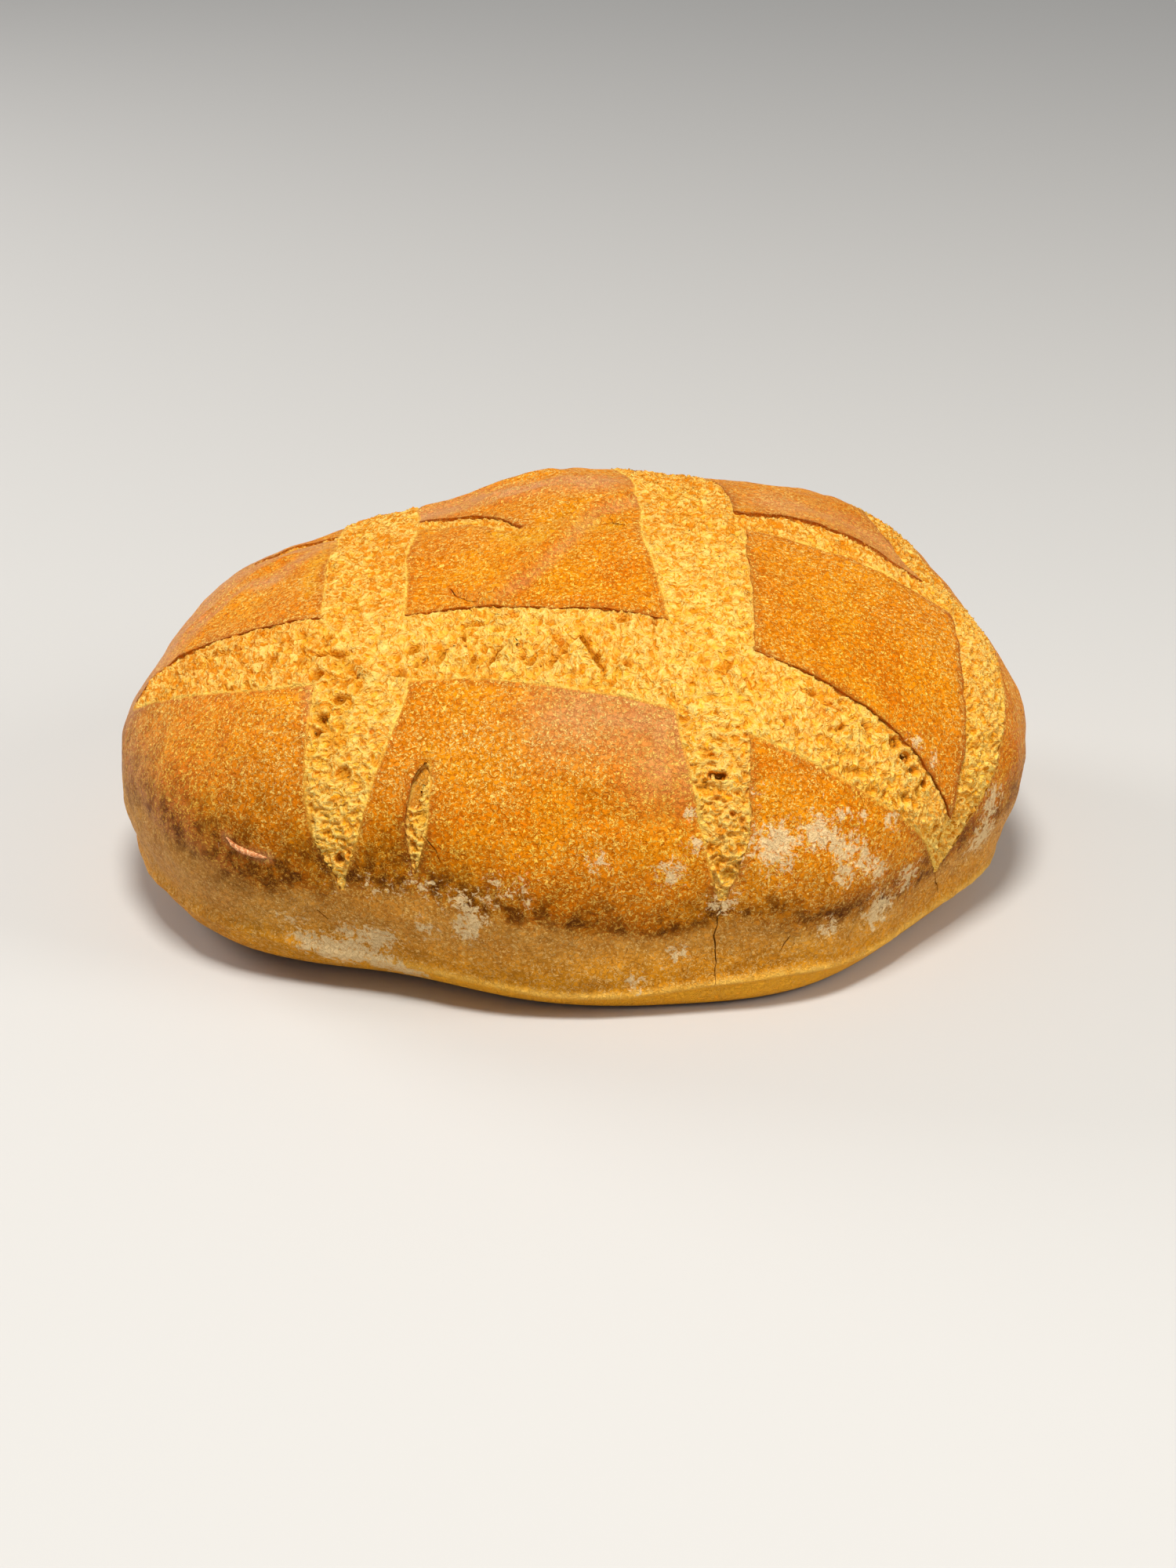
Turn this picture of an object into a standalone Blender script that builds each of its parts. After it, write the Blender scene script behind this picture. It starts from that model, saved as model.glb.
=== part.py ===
"""A rustic loaf of whole wheat bread, one solid with crossing slashes opened by the oven.

Metres, +Z up. The loaf lies along X on its flat base at z = 0, and the origin is the middle of
the base. Its skin is worked out from an outline at the widest line, a row of crown heights and
a wall that tucks in under that line. Places on the skin are read on a round map, centred on the
crown, whose rim at MAP_RADIUS is the widest line.
"""
import bpy
import bmesh
import numpy as np
from mathutils import Vector, noise

# The outline at the widest line: radius every 22.5 degrees, from +X towards +Y
OUTLINE = (0.0985, 0.1015, 0.0924, 0.0816, 0.0805, 0.0836, 0.0934, 0.1004,
           0.1084, 0.1055, 0.0889, 0.0848, 0.0824, 0.0890, 0.0916, 0.0995)
# Crown heights along X, evenly spaced from -CROWN_REACH to +CROWN_REACH
CROWN = (0.0795, 0.0829, 0.0803, 0.0871, 0.0852, 0.0863, 0.0802)
CROWN_REACH = 0.105
DOME_POWER = 0.974
# The widest line's height, and how far the foot stands in under it, every 45 degrees, as a share
WAIST_HEIGHT = 0.0313
TUCK_IN = (0.317, 0.159, 0.170, 0.169, 0.214, 0.278, 0.114, 0.191)
WALL_POWER = 0.85
WALL_DEGREES = 50.0
MAP_RADIUS = 0.115
# Moves the outline so that the origin is the middle of the loaf's box
CENTRE = (0.0046, 0.0016)

# Each slash: map x, map y and true width at stations along it
SLASHES = {
    "front_lengthwise": (
        (-0.0945, 0.0060, 0.0010), (-0.0913, 0.0033, 0.0056), (-0.0787, -0.0031, 0.0131),
        (-0.0669, -0.0109, 0.0171), (-0.0550, -0.0186, 0.0202), (-0.0427, -0.0254, 0.0187),
        (-0.0302, -0.0320, 0.0211), (-0.0188, -0.0406, 0.0202), (-0.0072, -0.0489, 0.0216),
        (0.0054, -0.0552, 0.0211), (0.0192, -0.0592, 0.0207), (0.0325, -0.0641, 0.0199),
        (0.0452, -0.0704, 0.0181), (0.0580, -0.0763, 0.0147), (0.0714, -0.0811, 0.0106),
        (0.0810, -0.0850, 0.0070), (0.0890, -0.0890, 0.0020)),
    "left_crosswise": (
        (-0.0430, 0.1000, 0.0020), (-0.0400, 0.0820, 0.0090), (-0.0370, 0.0620, 0.0140),
        (-0.0350, 0.0420, 0.0170), (-0.0345, 0.0235, 0.0190), (-0.0346, 0.0078, 0.0182),
        (-0.0365, -0.0069, 0.0182), (-0.0419, -0.0199, 0.0187), (-0.0484, -0.0325, 0.0205),
        (-0.0571, -0.0441, 0.0179), (-0.0667, -0.0554, 0.0144), (-0.0763, -0.0666, 0.0104),
        (-0.0856, -0.0780, 0.0023)),
    "middle_crosswise": (
        (0.0230, 0.1120, 0.0020), (0.0240, 0.0950, 0.0090), (0.0240, 0.0750, 0.0145),
        (0.0230, 0.0550, 0.0180), (0.0210, 0.0360, 0.0210), (0.0185, 0.0179, 0.0225),
        (0.0158, 0.0032, 0.0226), (0.0151, -0.0116, 0.0240), (0.0147, -0.0263, 0.0219),
        (0.0139, -0.0411, 0.0191), (0.0125, -0.0558, 0.0175), (0.0115, -0.0705, 0.0148),
        (0.0124, -0.0853, 0.0120), (0.0136, -0.1001, 0.0093), (0.0142, -0.1160, 0.0020)),
    "right_crosswise": (
        (0.0450, 0.0920, 0.0020), (0.0470, 0.0720, 0.0080), (0.0500, 0.0520, 0.0110),
        (0.0550, 0.0320, 0.0130), (0.0610, 0.0120, 0.0145), (0.0665, -0.0050, 0.0150),
        (0.0700, -0.0180, 0.0155), (0.0730, -0.0327, 0.0152), (0.0747, -0.0408, 0.0154),
        (0.0770, -0.0487, 0.0145), (0.0796, -0.0565, 0.0138), (0.0821, -0.0643, 0.0125),
        (0.0835, -0.0725, 0.0102), (0.0860, -0.0820, 0.0060), (0.0890, -0.0900, 0.0015)),
    "rear_left": (
        (-0.0880, 0.0310, 0.0010), (-0.0780, 0.0290, 0.0030), (-0.0670, 0.0290, 0.0040),
        (-0.0560, 0.0325, 0.0045), (-0.0440, 0.0295, 0.0060), (-0.0350, 0.0240, 0.0070)),
    "rear_middle": (
        (-0.0330, 0.0210, 0.0095), (-0.0248, 0.0153, 0.0090), (-0.0203, 0.0115, 0.0068),
        (-0.0167, 0.0071, 0.0060), (-0.0136, 0.0022, 0.0050), (-0.0107, -0.0015, 0.0025)),
    "rear_right": (
        (0.0180, -0.0020, 0.0060), (0.0259, -0.0037, 0.0093), (0.0327, -0.0047, 0.0130),
        (0.0388, -0.0074, 0.0137), (0.0452, -0.0096, 0.0130), (0.0512, -0.0127, 0.0113),
        (0.0573, -0.0154, 0.0095), (0.0660, -0.0190, 0.0090)),
    "front_nick": (
        (-0.0490, -0.0610, 0.0010), (-0.0520, -0.0650, 0.0036), (-0.0567, -0.0718, 0.0047),
        (-0.0607, -0.0781, 0.0042), (-0.0645, -0.0840, 0.0022), (-0.0675, -0.0880, 0.0010)),
}
# How deep the torn crumb lies under the skin, beside the crust and in the middle of a slash
EDGE_DEPTH = 0.0017
MIDDLE_DEPTH = 0.0004
# Narrow slashes are shallower: the depth is full from this width on, and never under this share
FULL_WIDTH = 0.010
LEAST_DEPTH_SHARE = 0.25
LEAST_WIDTH = 0.0008
# How far a slash's cutter reaches out past the skin
CLEARANCE = 0.006

# The crust rises beside a slash, where the oven lifted its lip
LIP_HEIGHT = 0.0013
LIP_REACH = 0.0075
LIP_FADE = (0.010, 0.020)
# Slow waves over the whole crust: size of a wave, and its height; they and the lips die out
# between two heights above the base
WAVES = ((0.034, 0.0011), (0.013, 0.0005))
WAVE_FADE = (0.002, 0.014)
# The fold that crosses the plate in the middle of the top, on the map
FOLD = ((-0.0255, -0.0225), (-0.0168, -0.0196), (-0.0080, -0.0136),
        (0.0010, -0.0097), (0.0060, -0.0075))
FOLD_HEIGHT = 0.0016
FOLD_REACH = 0.0035
# A thin ridge runs round the foot
RIDGE_LEVEL = 0.0058
RIDGE_HEIGHT = 0.0007
RIDGE_REACH = 0.0014

# Cells along each side of the cube that is blown up into the loaf
SKIN_CELLS = 25
SLASH_STEP = 0.0060
SLASH_CELLS_ACROSS = 4
MEASURING_STEP = 0.0015
SHARP_DEGREES = 40.0
CRUST_COLOUR = (0.62, 0.27, 0.055, 1.0)
CRUST_ROUGHNESS = 0.55


def spline(before, start, end, after, share):
    """Catmull-Rom between start and end."""
    bend = 2 * before - 5 * start + 4 * end - after
    twist = 3 * start - before - 3 * end + after
    return start + 0.5 * share * ((end - before) + share * (bend + share * twist))


def closed_curve(values, turn):
    """A smooth closed curve through evenly spaced values, read at turn, where 1 is once round."""
    values = np.asarray(values)
    place = (turn % 1.0) * len(values)
    index = np.floor(place).astype(int)
    around = [values[(index + step) % len(values)] for step in (-1, 0, 1, 2)]
    return spline(*around, place - index)


def open_curve(values, share):
    """A smooth curve through evenly spaced values, read at share from 0 to 1."""
    values = np.asarray(values, dtype=float)
    last = len(values) - 1
    place = np.clip(share, 0.0, 1.0) * last
    index = np.minimum(np.floor(place).astype(int), last - 1)
    ends = (2 * values[:1] - values[1:2], values, 2 * values[-1:] - values[-2:-1])
    padded = np.concatenate(ends)
    part = place - index
    if values.ndim > 1:
        part = part[:, None]
    return spline(*(padded[index + step] for step in range(4)), part)


def skin(direction):
    """The skin's points for unit directions from the loaf's middle, before any relief."""
    across = np.hypot(direction[:, 0], direction[:, 1]) + 1e-12
    cosine = direction[:, 0] / across
    sine = direction[:, 1] / across
    turn = np.arctan2(sine, cosine) / (2 * np.pi)
    radius = closed_curve(OUTLINE, turn)
    tuck = closed_curve(TUCK_IN, turn)
    up = direction[:, 2] >= 0
    down_degrees = np.degrees(np.arcsin(np.clip(-direction[:, 2], 0, 1)))
    wall = np.radians(90 * np.clip(down_degrees / WALL_DEGREES, 0, 1))
    wall_reach = 1 - tuck * (1 - np.clip(np.cos(wall), 0, 1) ** WALL_POWER)
    base_reach = (1 - tuck) * (90 - down_degrees) / (90 - WALL_DEGREES)
    reach = np.where(down_degrees < WALL_DEGREES, wall_reach, base_reach)
    reach = np.where(up, across ** DOME_POWER, reach)
    x = radius * cosine * reach
    y = radius * sine * reach
    crown = open_curve(CROWN, (x + CROWN_REACH) / (2 * CROWN_REACH))
    dome = WAIST_HEIGHT + (crown - WAIST_HEIGHT) * np.abs(direction[:, 2]) ** DOME_POWER
    foot = WAIST_HEIGHT * (1 - np.sin(wall) ** WALL_POWER)
    z = np.where(up, dome, foot)
    return np.stack((x + CENTRE[0], y + CENTRE[1], z), axis=1)


def map_direction(place):
    """The direction of places on the round map, whose middle is straight up."""
    away = np.hypot(place[:, 0], place[:, 1]) + 1e-12
    lean = away / MAP_RADIUS * np.pi / 2
    flat = place / away[:, None] * np.sin(lean)[:, None]
    return np.column_stack((flat, np.cos(lean)))


def map_skin(place):
    return skin(map_direction(place))


def slopes(place, step=0.0004):
    """How the skin runs as the map's x and y grow, and its outward normal."""
    run_x = (map_skin(place + (step, 0)) - map_skin(place - (step, 0))) / (2 * step)
    run_y = (map_skin(place + (0, step)) - map_skin(place - (0, step))) / (2 * step)
    normal = np.cross(run_x, run_y)
    normal /= np.linalg.norm(normal, axis=1)[:, None]
    return run_x, run_y, normal


def step_to(place, target):
    """Moves places on the map towards those whose skin is nearest to the target points."""
    run_x, run_y, _ = slopes(place)
    gap = target - map_skin(place)
    xx = (run_x * run_x).sum(1)
    yy = (run_y * run_y).sum(1)
    xy = (run_x * run_y).sum(1)
    gap_x = (run_x * gap).sum(1)
    gap_y = (run_y * gap).sum(1)
    size = xx * yy - xy * xy
    move = np.column_stack((yy * gap_x - xy * gap_y, xx * gap_y - xy * gap_x))
    return place + move / size[:, None]


def slash_line(stations, step):
    """Places on the map along a slash's middle, and its width at each."""
    stations = np.array(stations)
    rough = map_skin(stations[:, :2])
    length = np.linalg.norm(np.diff(rough, axis=0), axis=1).sum()
    count = max(8, int(round(length / step)))
    line = open_curve(stations, np.linspace(0, 1, count + 1))
    return line[:, :2], np.maximum(line[:, 2], LEAST_WIDTH)


def edge_distance(points):
    """Distance of each point to the nearest slash's edge, and how strong the lip is there."""
    nearest = np.full(len(points), 1.0)
    strength = np.zeros(len(points))
    for stations in SLASHES.values():
        places, widths = slash_line(stations, MEASURING_STEP)
        middle = map_skin(places)
        gaps = np.linalg.norm(points[:, None] - middle[None], axis=2) - widths / 2
        closest = gaps.argmin(1)
        gap = gaps[np.arange(len(points)), closest]
        closer = gap < nearest
        nearest[closer] = gap[closer]
        strength[closer] = np.minimum(1.0, widths[closest] / FULL_WIDTH)[closer]
    return nearest, strength


def fade(value, low, high):
    """0 below low, 1 above high, smooth between."""
    share = np.clip((value - low) / (high - low), 0, 1)
    return share * share * (3 - 2 * share)


def waves(points):
    """Slow swells of the crust."""
    height = np.zeros(len(points))
    for size, rise in WAVES:
        height += rise * np.array([noise.noise(Vector(p) / size) for p in points])
    return height


def fold_relief(points):
    """A long low fold across the plate in the middle of the top."""
    line = map_skin(open_curve(FOLD, np.linspace(0, 1, 30)))
    gap = np.linalg.norm(points[:, None] - line[None], axis=2).min(1)
    return FOLD_HEIGHT * np.exp(-(gap / FOLD_REACH) ** 2)


def relief(points):
    """How far the crust stands out from the skin."""
    gap, strength = edge_distance(points)
    lip = LIP_HEIGHT * strength * np.exp(-(np.maximum(gap, 0) / LIP_REACH) ** 2)
    ridge = RIDGE_HEIGHT * np.exp(-((points[:, 2] - RIDGE_LEVEL) / RIDGE_REACH) ** 2)
    swells = (waves(points) + fold_relief(points)) * fade(points[:, 2], *WAVE_FADE)
    return swells + lip * fade(points[:, 2], *LIP_FADE) + ridge


def outward(direction, step=0.002):
    """The skin's outward normals for unit directions."""
    helper = np.where(np.abs(direction[:, 2:3]) < 0.7, (0.0, 0.0, 1.0), (1.0, 0.0, 0.0))
    first = np.cross(helper, direction)
    first /= np.linalg.norm(first, axis=1)[:, None]
    second = np.cross(direction, first)
    sides = []
    for way in (first, second):
        ahead = direction + step * way
        behind = direction - step * way
        ahead /= np.linalg.norm(ahead, axis=1)[:, None]
        behind /= np.linalg.norm(behind, axis=1)[:, None]
        sides.append(skin(ahead) - skin(behind))
    normal = np.cross(*sides)
    return normal / np.maximum(np.linalg.norm(normal, axis=1), 1e-12)[:, None]


def vertex_array(mesh):
    points = np.empty(len(mesh.vertices) * 3)
    mesh.vertices.foreach_get("co", points)
    return points.reshape(-1, 3)


def place_vertices(mesh, points):
    mesh.vertices.foreach_set("co", points.ravel())
    mesh.update()


def crust_material():
    material = bpy.data.materials.new("crust")
    material.use_nodes = True
    shader = material.node_tree.nodes["Principled BSDF"]
    shader.inputs["Base Color"].default_value = CRUST_COLOUR
    shader.inputs["Roughness"].default_value = CRUST_ROUGHNESS
    shader.inputs["Metallic"].default_value = 0.0
    return material


def merge_base(mesh):
    """Makes the flat base one face."""
    shape = bmesh.new()
    shape.from_mesh(mesh)
    flat = [face for face in shape.faces if all(v.co.z < 1e-5 for v in face.verts)]
    bmesh.ops.dissolve_faces(shape, faces=flat, use_verts=False)
    shape.to_mesh(mesh)
    shape.free()


def build_loaf(collection):
    """A cube, cut into cells and blown up into the loaf."""
    bpy.ops.mesh.primitive_cube_add(size=2.0)
    loaf = bpy.context.object
    loaf.name = "loaf"
    bpy.ops.object.mode_set(mode="EDIT")
    bpy.ops.mesh.subdivide(number_cuts=SKIN_CELLS - 1)
    bpy.ops.object.mode_set(mode="OBJECT")
    direction = np.tan(vertex_array(loaf.data) * np.pi / 4)
    direction /= np.linalg.norm(direction, axis=1)[:, None]
    points = skin(direction)
    raised = points + outward(direction) * relief(points)[:, None]
    flat = points[:, 2] < 1e-6
    raised[flat, 2] = 0.0
    raised[:, 2] = np.maximum(raised[:, 2], 0.0)
    place_vertices(loaf.data, raised)
    merge_base(loaf.data)
    loaf.data.shade_smooth()
    loaf.data.set_sharp_from_angle(angle=np.radians(SHARP_DEGREES))
    loaf.data.materials.append(crust_material())
    move_to(loaf, collection)
    return loaf


def move_to(item, collection):
    for old in item.users_collection:
        old.objects.unlink(item)
    collection.objects.link(item)


def slash_cutter(name, stations, collection):
    """A strip along the slash, as deep as the torn crumb, that reaches out past the crust."""
    places, widths = slash_line(stations, SLASH_STEP)
    rows = len(places)
    columns = SLASH_CELLS_ACROSS + 1
    middle = map_skin(places)
    tangent = np.gradient(middle, axis=0)
    across = np.cross(slopes(places)[2], tangent)
    across /= np.linalg.norm(across, axis=1)[:, None]
    side = np.tile(np.linspace(-1, 1, columns), rows)
    place = np.repeat(places, columns, axis=0)
    reach = np.repeat(across * widths[:, None] / 2, columns, axis=0) * side[:, None]
    target = np.repeat(middle, columns, axis=0) + reach
    for _ in range(3):
        place = step_to(place, target)
    normal = slopes(place)[2]
    width = np.repeat(widths, columns)
    depth = MIDDLE_DEPTH + (EDGE_DEPTH - MIDDLE_DEPTH) * side ** 2
    depth *= np.clip(width / FULL_WIDTH, LEAST_DEPTH_SHARE, 1.0)
    floor = map_skin(place) - normal * depth[:, None]
    roof = map_skin(place) + normal * CLEARANCE

    shape = bmesh.new()
    bmesh.ops.create_grid(shape, x_segments=SLASH_CELLS_ACROSS, y_segments=rows - 1, size=0.5)
    bottom = sorted(shape.verts, key=lambda v: (round(v.co.y, 5), round(v.co.x, 5)))
    for vertex, point in zip(bottom, floor):
        vertex.co = point
    grown = bmesh.ops.extrude_face_region(shape, geom=shape.faces[:])
    lifted = {v for v in grown["geom"] if isinstance(v, bmesh.types.BMVert)}
    rise = {tuple(vertex.co): point for vertex, point in zip(bottom, roof)}
    for vertex in lifted:
        vertex.co = rise[tuple(vertex.co)]
    bmesh.ops.recalc_face_normals(shape, faces=shape.faces[:])
    mesh = bpy.data.meshes.new(name)
    shape.to_mesh(mesh)
    shape.free()
    cutter = bpy.data.objects.new(name, mesh)
    cutter.hide_render = True
    cutter.display_type = "WIRE"
    collection.objects.link(cutter)
    return cutter


def open_slashes(loaf, collection):
    for name, stations in SLASHES.items():
        cut = loaf.modifiers.new(name, "BOOLEAN")
        cut.operation = "DIFFERENCE"
        cut.solver = "MANIFOLD"
        cut.object = slash_cutter("cutter_" + name, stations, collection)


def main():
    for item in list(bpy.data.objects):
        bpy.data.objects.remove(item, do_unlink=True)
    loaf_collection = bpy.data.collections.new("whole_wheat_bread")
    cutters = bpy.data.collections.new("cutters")
    for collection in (loaf_collection, cutters):
        bpy.context.scene.collection.children.link(collection)
    loaf = build_loaf(loaf_collection)
    open_slashes(loaf, cutters)


main()
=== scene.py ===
"""The loaf as it looks: a crust in browned plates over torn crumb, on a pale floor in soft light.

Metres, +Z up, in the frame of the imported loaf. The skin is the one that the solid was made on:
an outline at the widest line, a row of crown heights and a wall that tucks in below. Places on
the skin are read on a round map centred on the crown, whose rim is the widest line.
"""
import bpy
import numpy as np
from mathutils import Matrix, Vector, kdtree, noise
from mathutils.bvhtree import BVHTree


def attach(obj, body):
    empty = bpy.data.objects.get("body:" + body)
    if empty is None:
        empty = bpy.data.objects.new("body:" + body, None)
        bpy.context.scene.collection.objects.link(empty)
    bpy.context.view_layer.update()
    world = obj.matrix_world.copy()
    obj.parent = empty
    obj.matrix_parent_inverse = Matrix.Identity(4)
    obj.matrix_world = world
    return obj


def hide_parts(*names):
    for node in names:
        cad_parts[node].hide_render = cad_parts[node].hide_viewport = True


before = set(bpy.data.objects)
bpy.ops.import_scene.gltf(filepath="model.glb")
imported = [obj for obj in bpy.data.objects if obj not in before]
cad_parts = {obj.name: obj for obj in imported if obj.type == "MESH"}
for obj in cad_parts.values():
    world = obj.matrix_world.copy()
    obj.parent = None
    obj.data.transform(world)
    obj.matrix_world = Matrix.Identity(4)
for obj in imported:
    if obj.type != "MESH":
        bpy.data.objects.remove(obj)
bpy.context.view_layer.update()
bpy.ops.object.select_all(action="DESELECT")

# The skin: radius at the widest line every 22.5 degrees from +X, and crown heights along X
OUTLINE = (0.0985, 0.1015, 0.0924, 0.0816, 0.0805, 0.0836, 0.0934, 0.1004,
           0.1084, 0.1055, 0.0889, 0.0848, 0.0824, 0.0890, 0.0916, 0.0995)
CROWN = (0.0795, 0.0829, 0.0803, 0.0871, 0.0852, 0.0863, 0.0802)
CROWN_REACH = 0.105
DOME_POWER = 0.974
WAIST_HEIGHT = 0.0313
TUCK_IN = (0.317, 0.159, 0.170, 0.169, 0.214, 0.278, 0.114, 0.191)
WALL_POWER = 0.85
WALL_DEGREES = 50.0
MAP_RADIUS = 0.115
CENTRE = (0.0046, 0.0016)

# Each slash: map x, map y and true width at stations along it
SLASHES = {
    "front_lengthwise": (
        (-0.0945, 0.0060, 0.0010), (-0.0913, 0.0033, 0.0056), (-0.0787, -0.0031, 0.0131),
        (-0.0669, -0.0109, 0.0171), (-0.0550, -0.0186, 0.0202), (-0.0427, -0.0254, 0.0187),
        (-0.0302, -0.0320, 0.0211), (-0.0188, -0.0406, 0.0202), (-0.0072, -0.0489, 0.0216),
        (0.0054, -0.0552, 0.0211), (0.0192, -0.0592, 0.0207), (0.0325, -0.0641, 0.0199),
        (0.0452, -0.0704, 0.0181), (0.0580, -0.0763, 0.0147), (0.0714, -0.0811, 0.0106),
        (0.0810, -0.0850, 0.0070), (0.0890, -0.0890, 0.0020)),
    "left_crosswise": (
        (-0.0430, 0.1000, 0.0020), (-0.0400, 0.0820, 0.0090), (-0.0370, 0.0620, 0.0140),
        (-0.0350, 0.0420, 0.0170), (-0.0345, 0.0235, 0.0190), (-0.0346, 0.0078, 0.0182),
        (-0.0365, -0.0069, 0.0182), (-0.0419, -0.0199, 0.0187), (-0.0484, -0.0325, 0.0205),
        (-0.0571, -0.0441, 0.0179), (-0.0667, -0.0554, 0.0144), (-0.0763, -0.0666, 0.0098),
        (-0.0868, -0.0792, 0.0010)),
    "middle_crosswise": (
        (0.0230, 0.1120, 0.0020), (0.0240, 0.0950, 0.0090), (0.0240, 0.0750, 0.0145),
        (0.0230, 0.0550, 0.0180), (0.0210, 0.0360, 0.0210), (0.0185, 0.0179, 0.0225),
        (0.0158, 0.0032, 0.0226), (0.0151, -0.0116, 0.0240), (0.0147, -0.0263, 0.0219),
        (0.0139, -0.0411, 0.0191), (0.0125, -0.0558, 0.0175), (0.0115, -0.0705, 0.0148),
        (0.0124, -0.0853, 0.0120), (0.0136, -0.1001, 0.0093), (0.0142, -0.1160, 0.0020)),
    "right_crosswise": (
        (0.0450, 0.0920, 0.0020), (0.0470, 0.0720, 0.0080), (0.0500, 0.0520, 0.0110),
        (0.0550, 0.0320, 0.0130), (0.0610, 0.0120, 0.0145), (0.0665, -0.0050, 0.0150),
        (0.0700, -0.0180, 0.0155), (0.0730, -0.0327, 0.0152), (0.0747, -0.0408, 0.0154),
        (0.0770, -0.0487, 0.0145), (0.0796, -0.0565, 0.0138), (0.0821, -0.0643, 0.0125),
        (0.0835, -0.0725, 0.0102), (0.0860, -0.0820, 0.0060), (0.0890, -0.0900, 0.0015)),
    "rear_left": (
        (-0.0690, 0.0295, 0.0010), (-0.0645, 0.0290, 0.0030), (-0.0590, 0.0288, 0.0045),
        (-0.0530, 0.0283, 0.0050), (-0.0440, 0.0260, 0.0055), (-0.0350, 0.0225, 0.0070)),
    "rear_middle": (
        (-0.0330, 0.0210, 0.0072), (-0.0248, 0.0160, 0.0062), (-0.0203, 0.0122, 0.0050),
        (-0.0167, 0.0076, 0.0044), (-0.0136, 0.0026, 0.0036), (-0.0107, -0.0012, 0.0018)),
    "rear_right": (
        (0.0180, -0.0020, 0.0060), (0.0259, -0.0037, 0.0093), (0.0327, -0.0047, 0.0130),
        (0.0388, -0.0074, 0.0137), (0.0452, -0.0096, 0.0130), (0.0512, -0.0127, 0.0113),
        (0.0573, -0.0154, 0.0095), (0.0660, -0.0190, 0.0090)),
    "front_nick": (
        (-0.0490, -0.0610, 0.0010), (-0.0520, -0.0650, 0.0036), (-0.0567, -0.0718, 0.0047),
        (-0.0607, -0.0781, 0.0042), (-0.0645, -0.0840, 0.0022), (-0.0675, -0.0880, 0.0010)),
}
# How far the lip gapes over the crumb on each slash's two sides, the right side of its run first
GAPS = {
    "front_lengthwise": (0.0001, 0.0006),
    "left_crosswise": (0.0002, 0.0001),
    "middle_crosswise": (0.0002, 0.0005),
    "right_crosswise": (0.0012, 0.0001),
    "rear_left": (0.0001, 0.0008),
    "rear_middle": (0.0001, 0.0008),
    "rear_right": (0.0001, 0.0008),
    "front_nick": (0.0020, 0.0001),
}
GAP_REACH = 0.0020
# Lips gape less on the left than on the right: shares, and where along X they change
GAPE = (0.75, 1.15)
GAPE_FADE = (0.020, 0.048)
LEAST_WIDTH = 0.0008
FULL_WIDTH = 0.010
MEASURING_STEP = 0.0015
# A trench's cutter: its points across, its steps along, its depth, and the share of the depth that
# a narrow and a wide slash get
ACROSS = np.array((-1.0, -0.5, 0.0, 0.5, 1.0))
TRENCH_STEP = 0.0008
TRENCH_DEPTH = 0.0050
TRENCH_SHARE = (0.3, 1.0)
# Its sides are ragged in layers, fully from a half width on, and more so the more the lip gapes;
# the noise of each side is read this far from the middle
RAGGED = ((0.0042, 0.00042), (0.0014, 0.00014))
RAGGED_FROM = 0.004
RAGGED_PER_GAP = 900
SIDES_APART = 0.01
# Its sides lean out under the crust, more so the more the lip gapes
LEAN = 0.12
LEAN_PER_GAP = 350
ROOF_SPREAD = 0.8
# The crumb is tight against the lip under the first gap, and clear of it over the second
TIGHT_GAP = (0.0002, 0.0005)

# The crust rises beside a slash, and more so the more its lip gapes
LIP_HEIGHT = 0.000275
LIP_PER_GAP = 0.35
LIP_REACH = 0.0065
LIP_FADE = (0.010, 0.020)
# Waves in the crust: size and height
WAVES = ((0.034, 0.0011), (0.013, 0.0005), (0.0060, 0.00036), (0.0034, 0.00016))
WAVE_FADE = (0.002, 0.014)
# The fold that crosses the plate in the middle of the top
FOLD = ((-0.0225, -0.0210), (-0.0162, -0.0186), (-0.0126, -0.0158), (-0.0089, -0.0127),
        (-0.0053, -0.0084), (-0.0020, -0.0052), (0.0014, -0.0026), (0.0052, -0.0004))
# The stretched band that carries on from the rear middle slash
STRETCH = ((-0.0140, 0.0000), (-0.0108, -0.0050), (-0.0078, -0.0086), (-0.0045, -0.0094),
           (-0.0012, -0.0098), (0.0018, -0.0104))
# Folds, ridges and creases: places on the map, height, reach
FOLDS = (
    (FOLD, 0.0027, 0.0025), (STRETCH, -0.0009, 0.0026),
    (((-0.0251, -0.0107), (-0.0255, -0.0141), (-0.0256, -0.0176), (-0.0255, -0.0206)),
     -0.0013, 0.0010),
    (((-0.0067, -0.0016), (-0.0031, 0.0000), (0.0003, 0.0016)), -0.0014, 0.0026),
    (((-0.0300, 0.0010), (-0.0240, -0.0030), (-0.0180, -0.0045)), 0.0009, 0.0016),
    (((0.0000, -0.0074), (0.0022, -0.0078), (0.0042, -0.0090)), 0.0012, 0.0009),
    (((-0.0131, 0.0142), (-0.0083, 0.0128), (0.0045, 0.0097)), 0.0011, 0.0019),
    (((-0.0260, 0.0286), (-0.0155, 0.0300), (-0.0032, 0.0284)), 0.0011, 0.0026),
    (((-0.0150, 0.0200), (-0.0060, 0.0190), (0.0060, 0.0160)), 0.0008, 0.0016),
    (((-0.0760, 0.0120), (-0.0620, 0.0150), (-0.0500, 0.0170)), 0.0009, 0.0022),
    (((-0.0760, 0.0010), (-0.0640, 0.0080), (-0.0500, 0.0120)), 0.0007, 0.0024),
    (((-0.0680, -0.0260), (-0.0630, -0.0330), (-0.0640, -0.0420)), 0.0006, 0.0022),
    (((-0.0230, -0.0760), (-0.0110, -0.0830), (-0.0010, -0.0850)), 0.0007, 0.0030),
    (((-0.0180, -0.0900), (-0.0080, -0.0950), (0.0040, -0.0950)), -0.0007, 0.0030),
)
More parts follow.
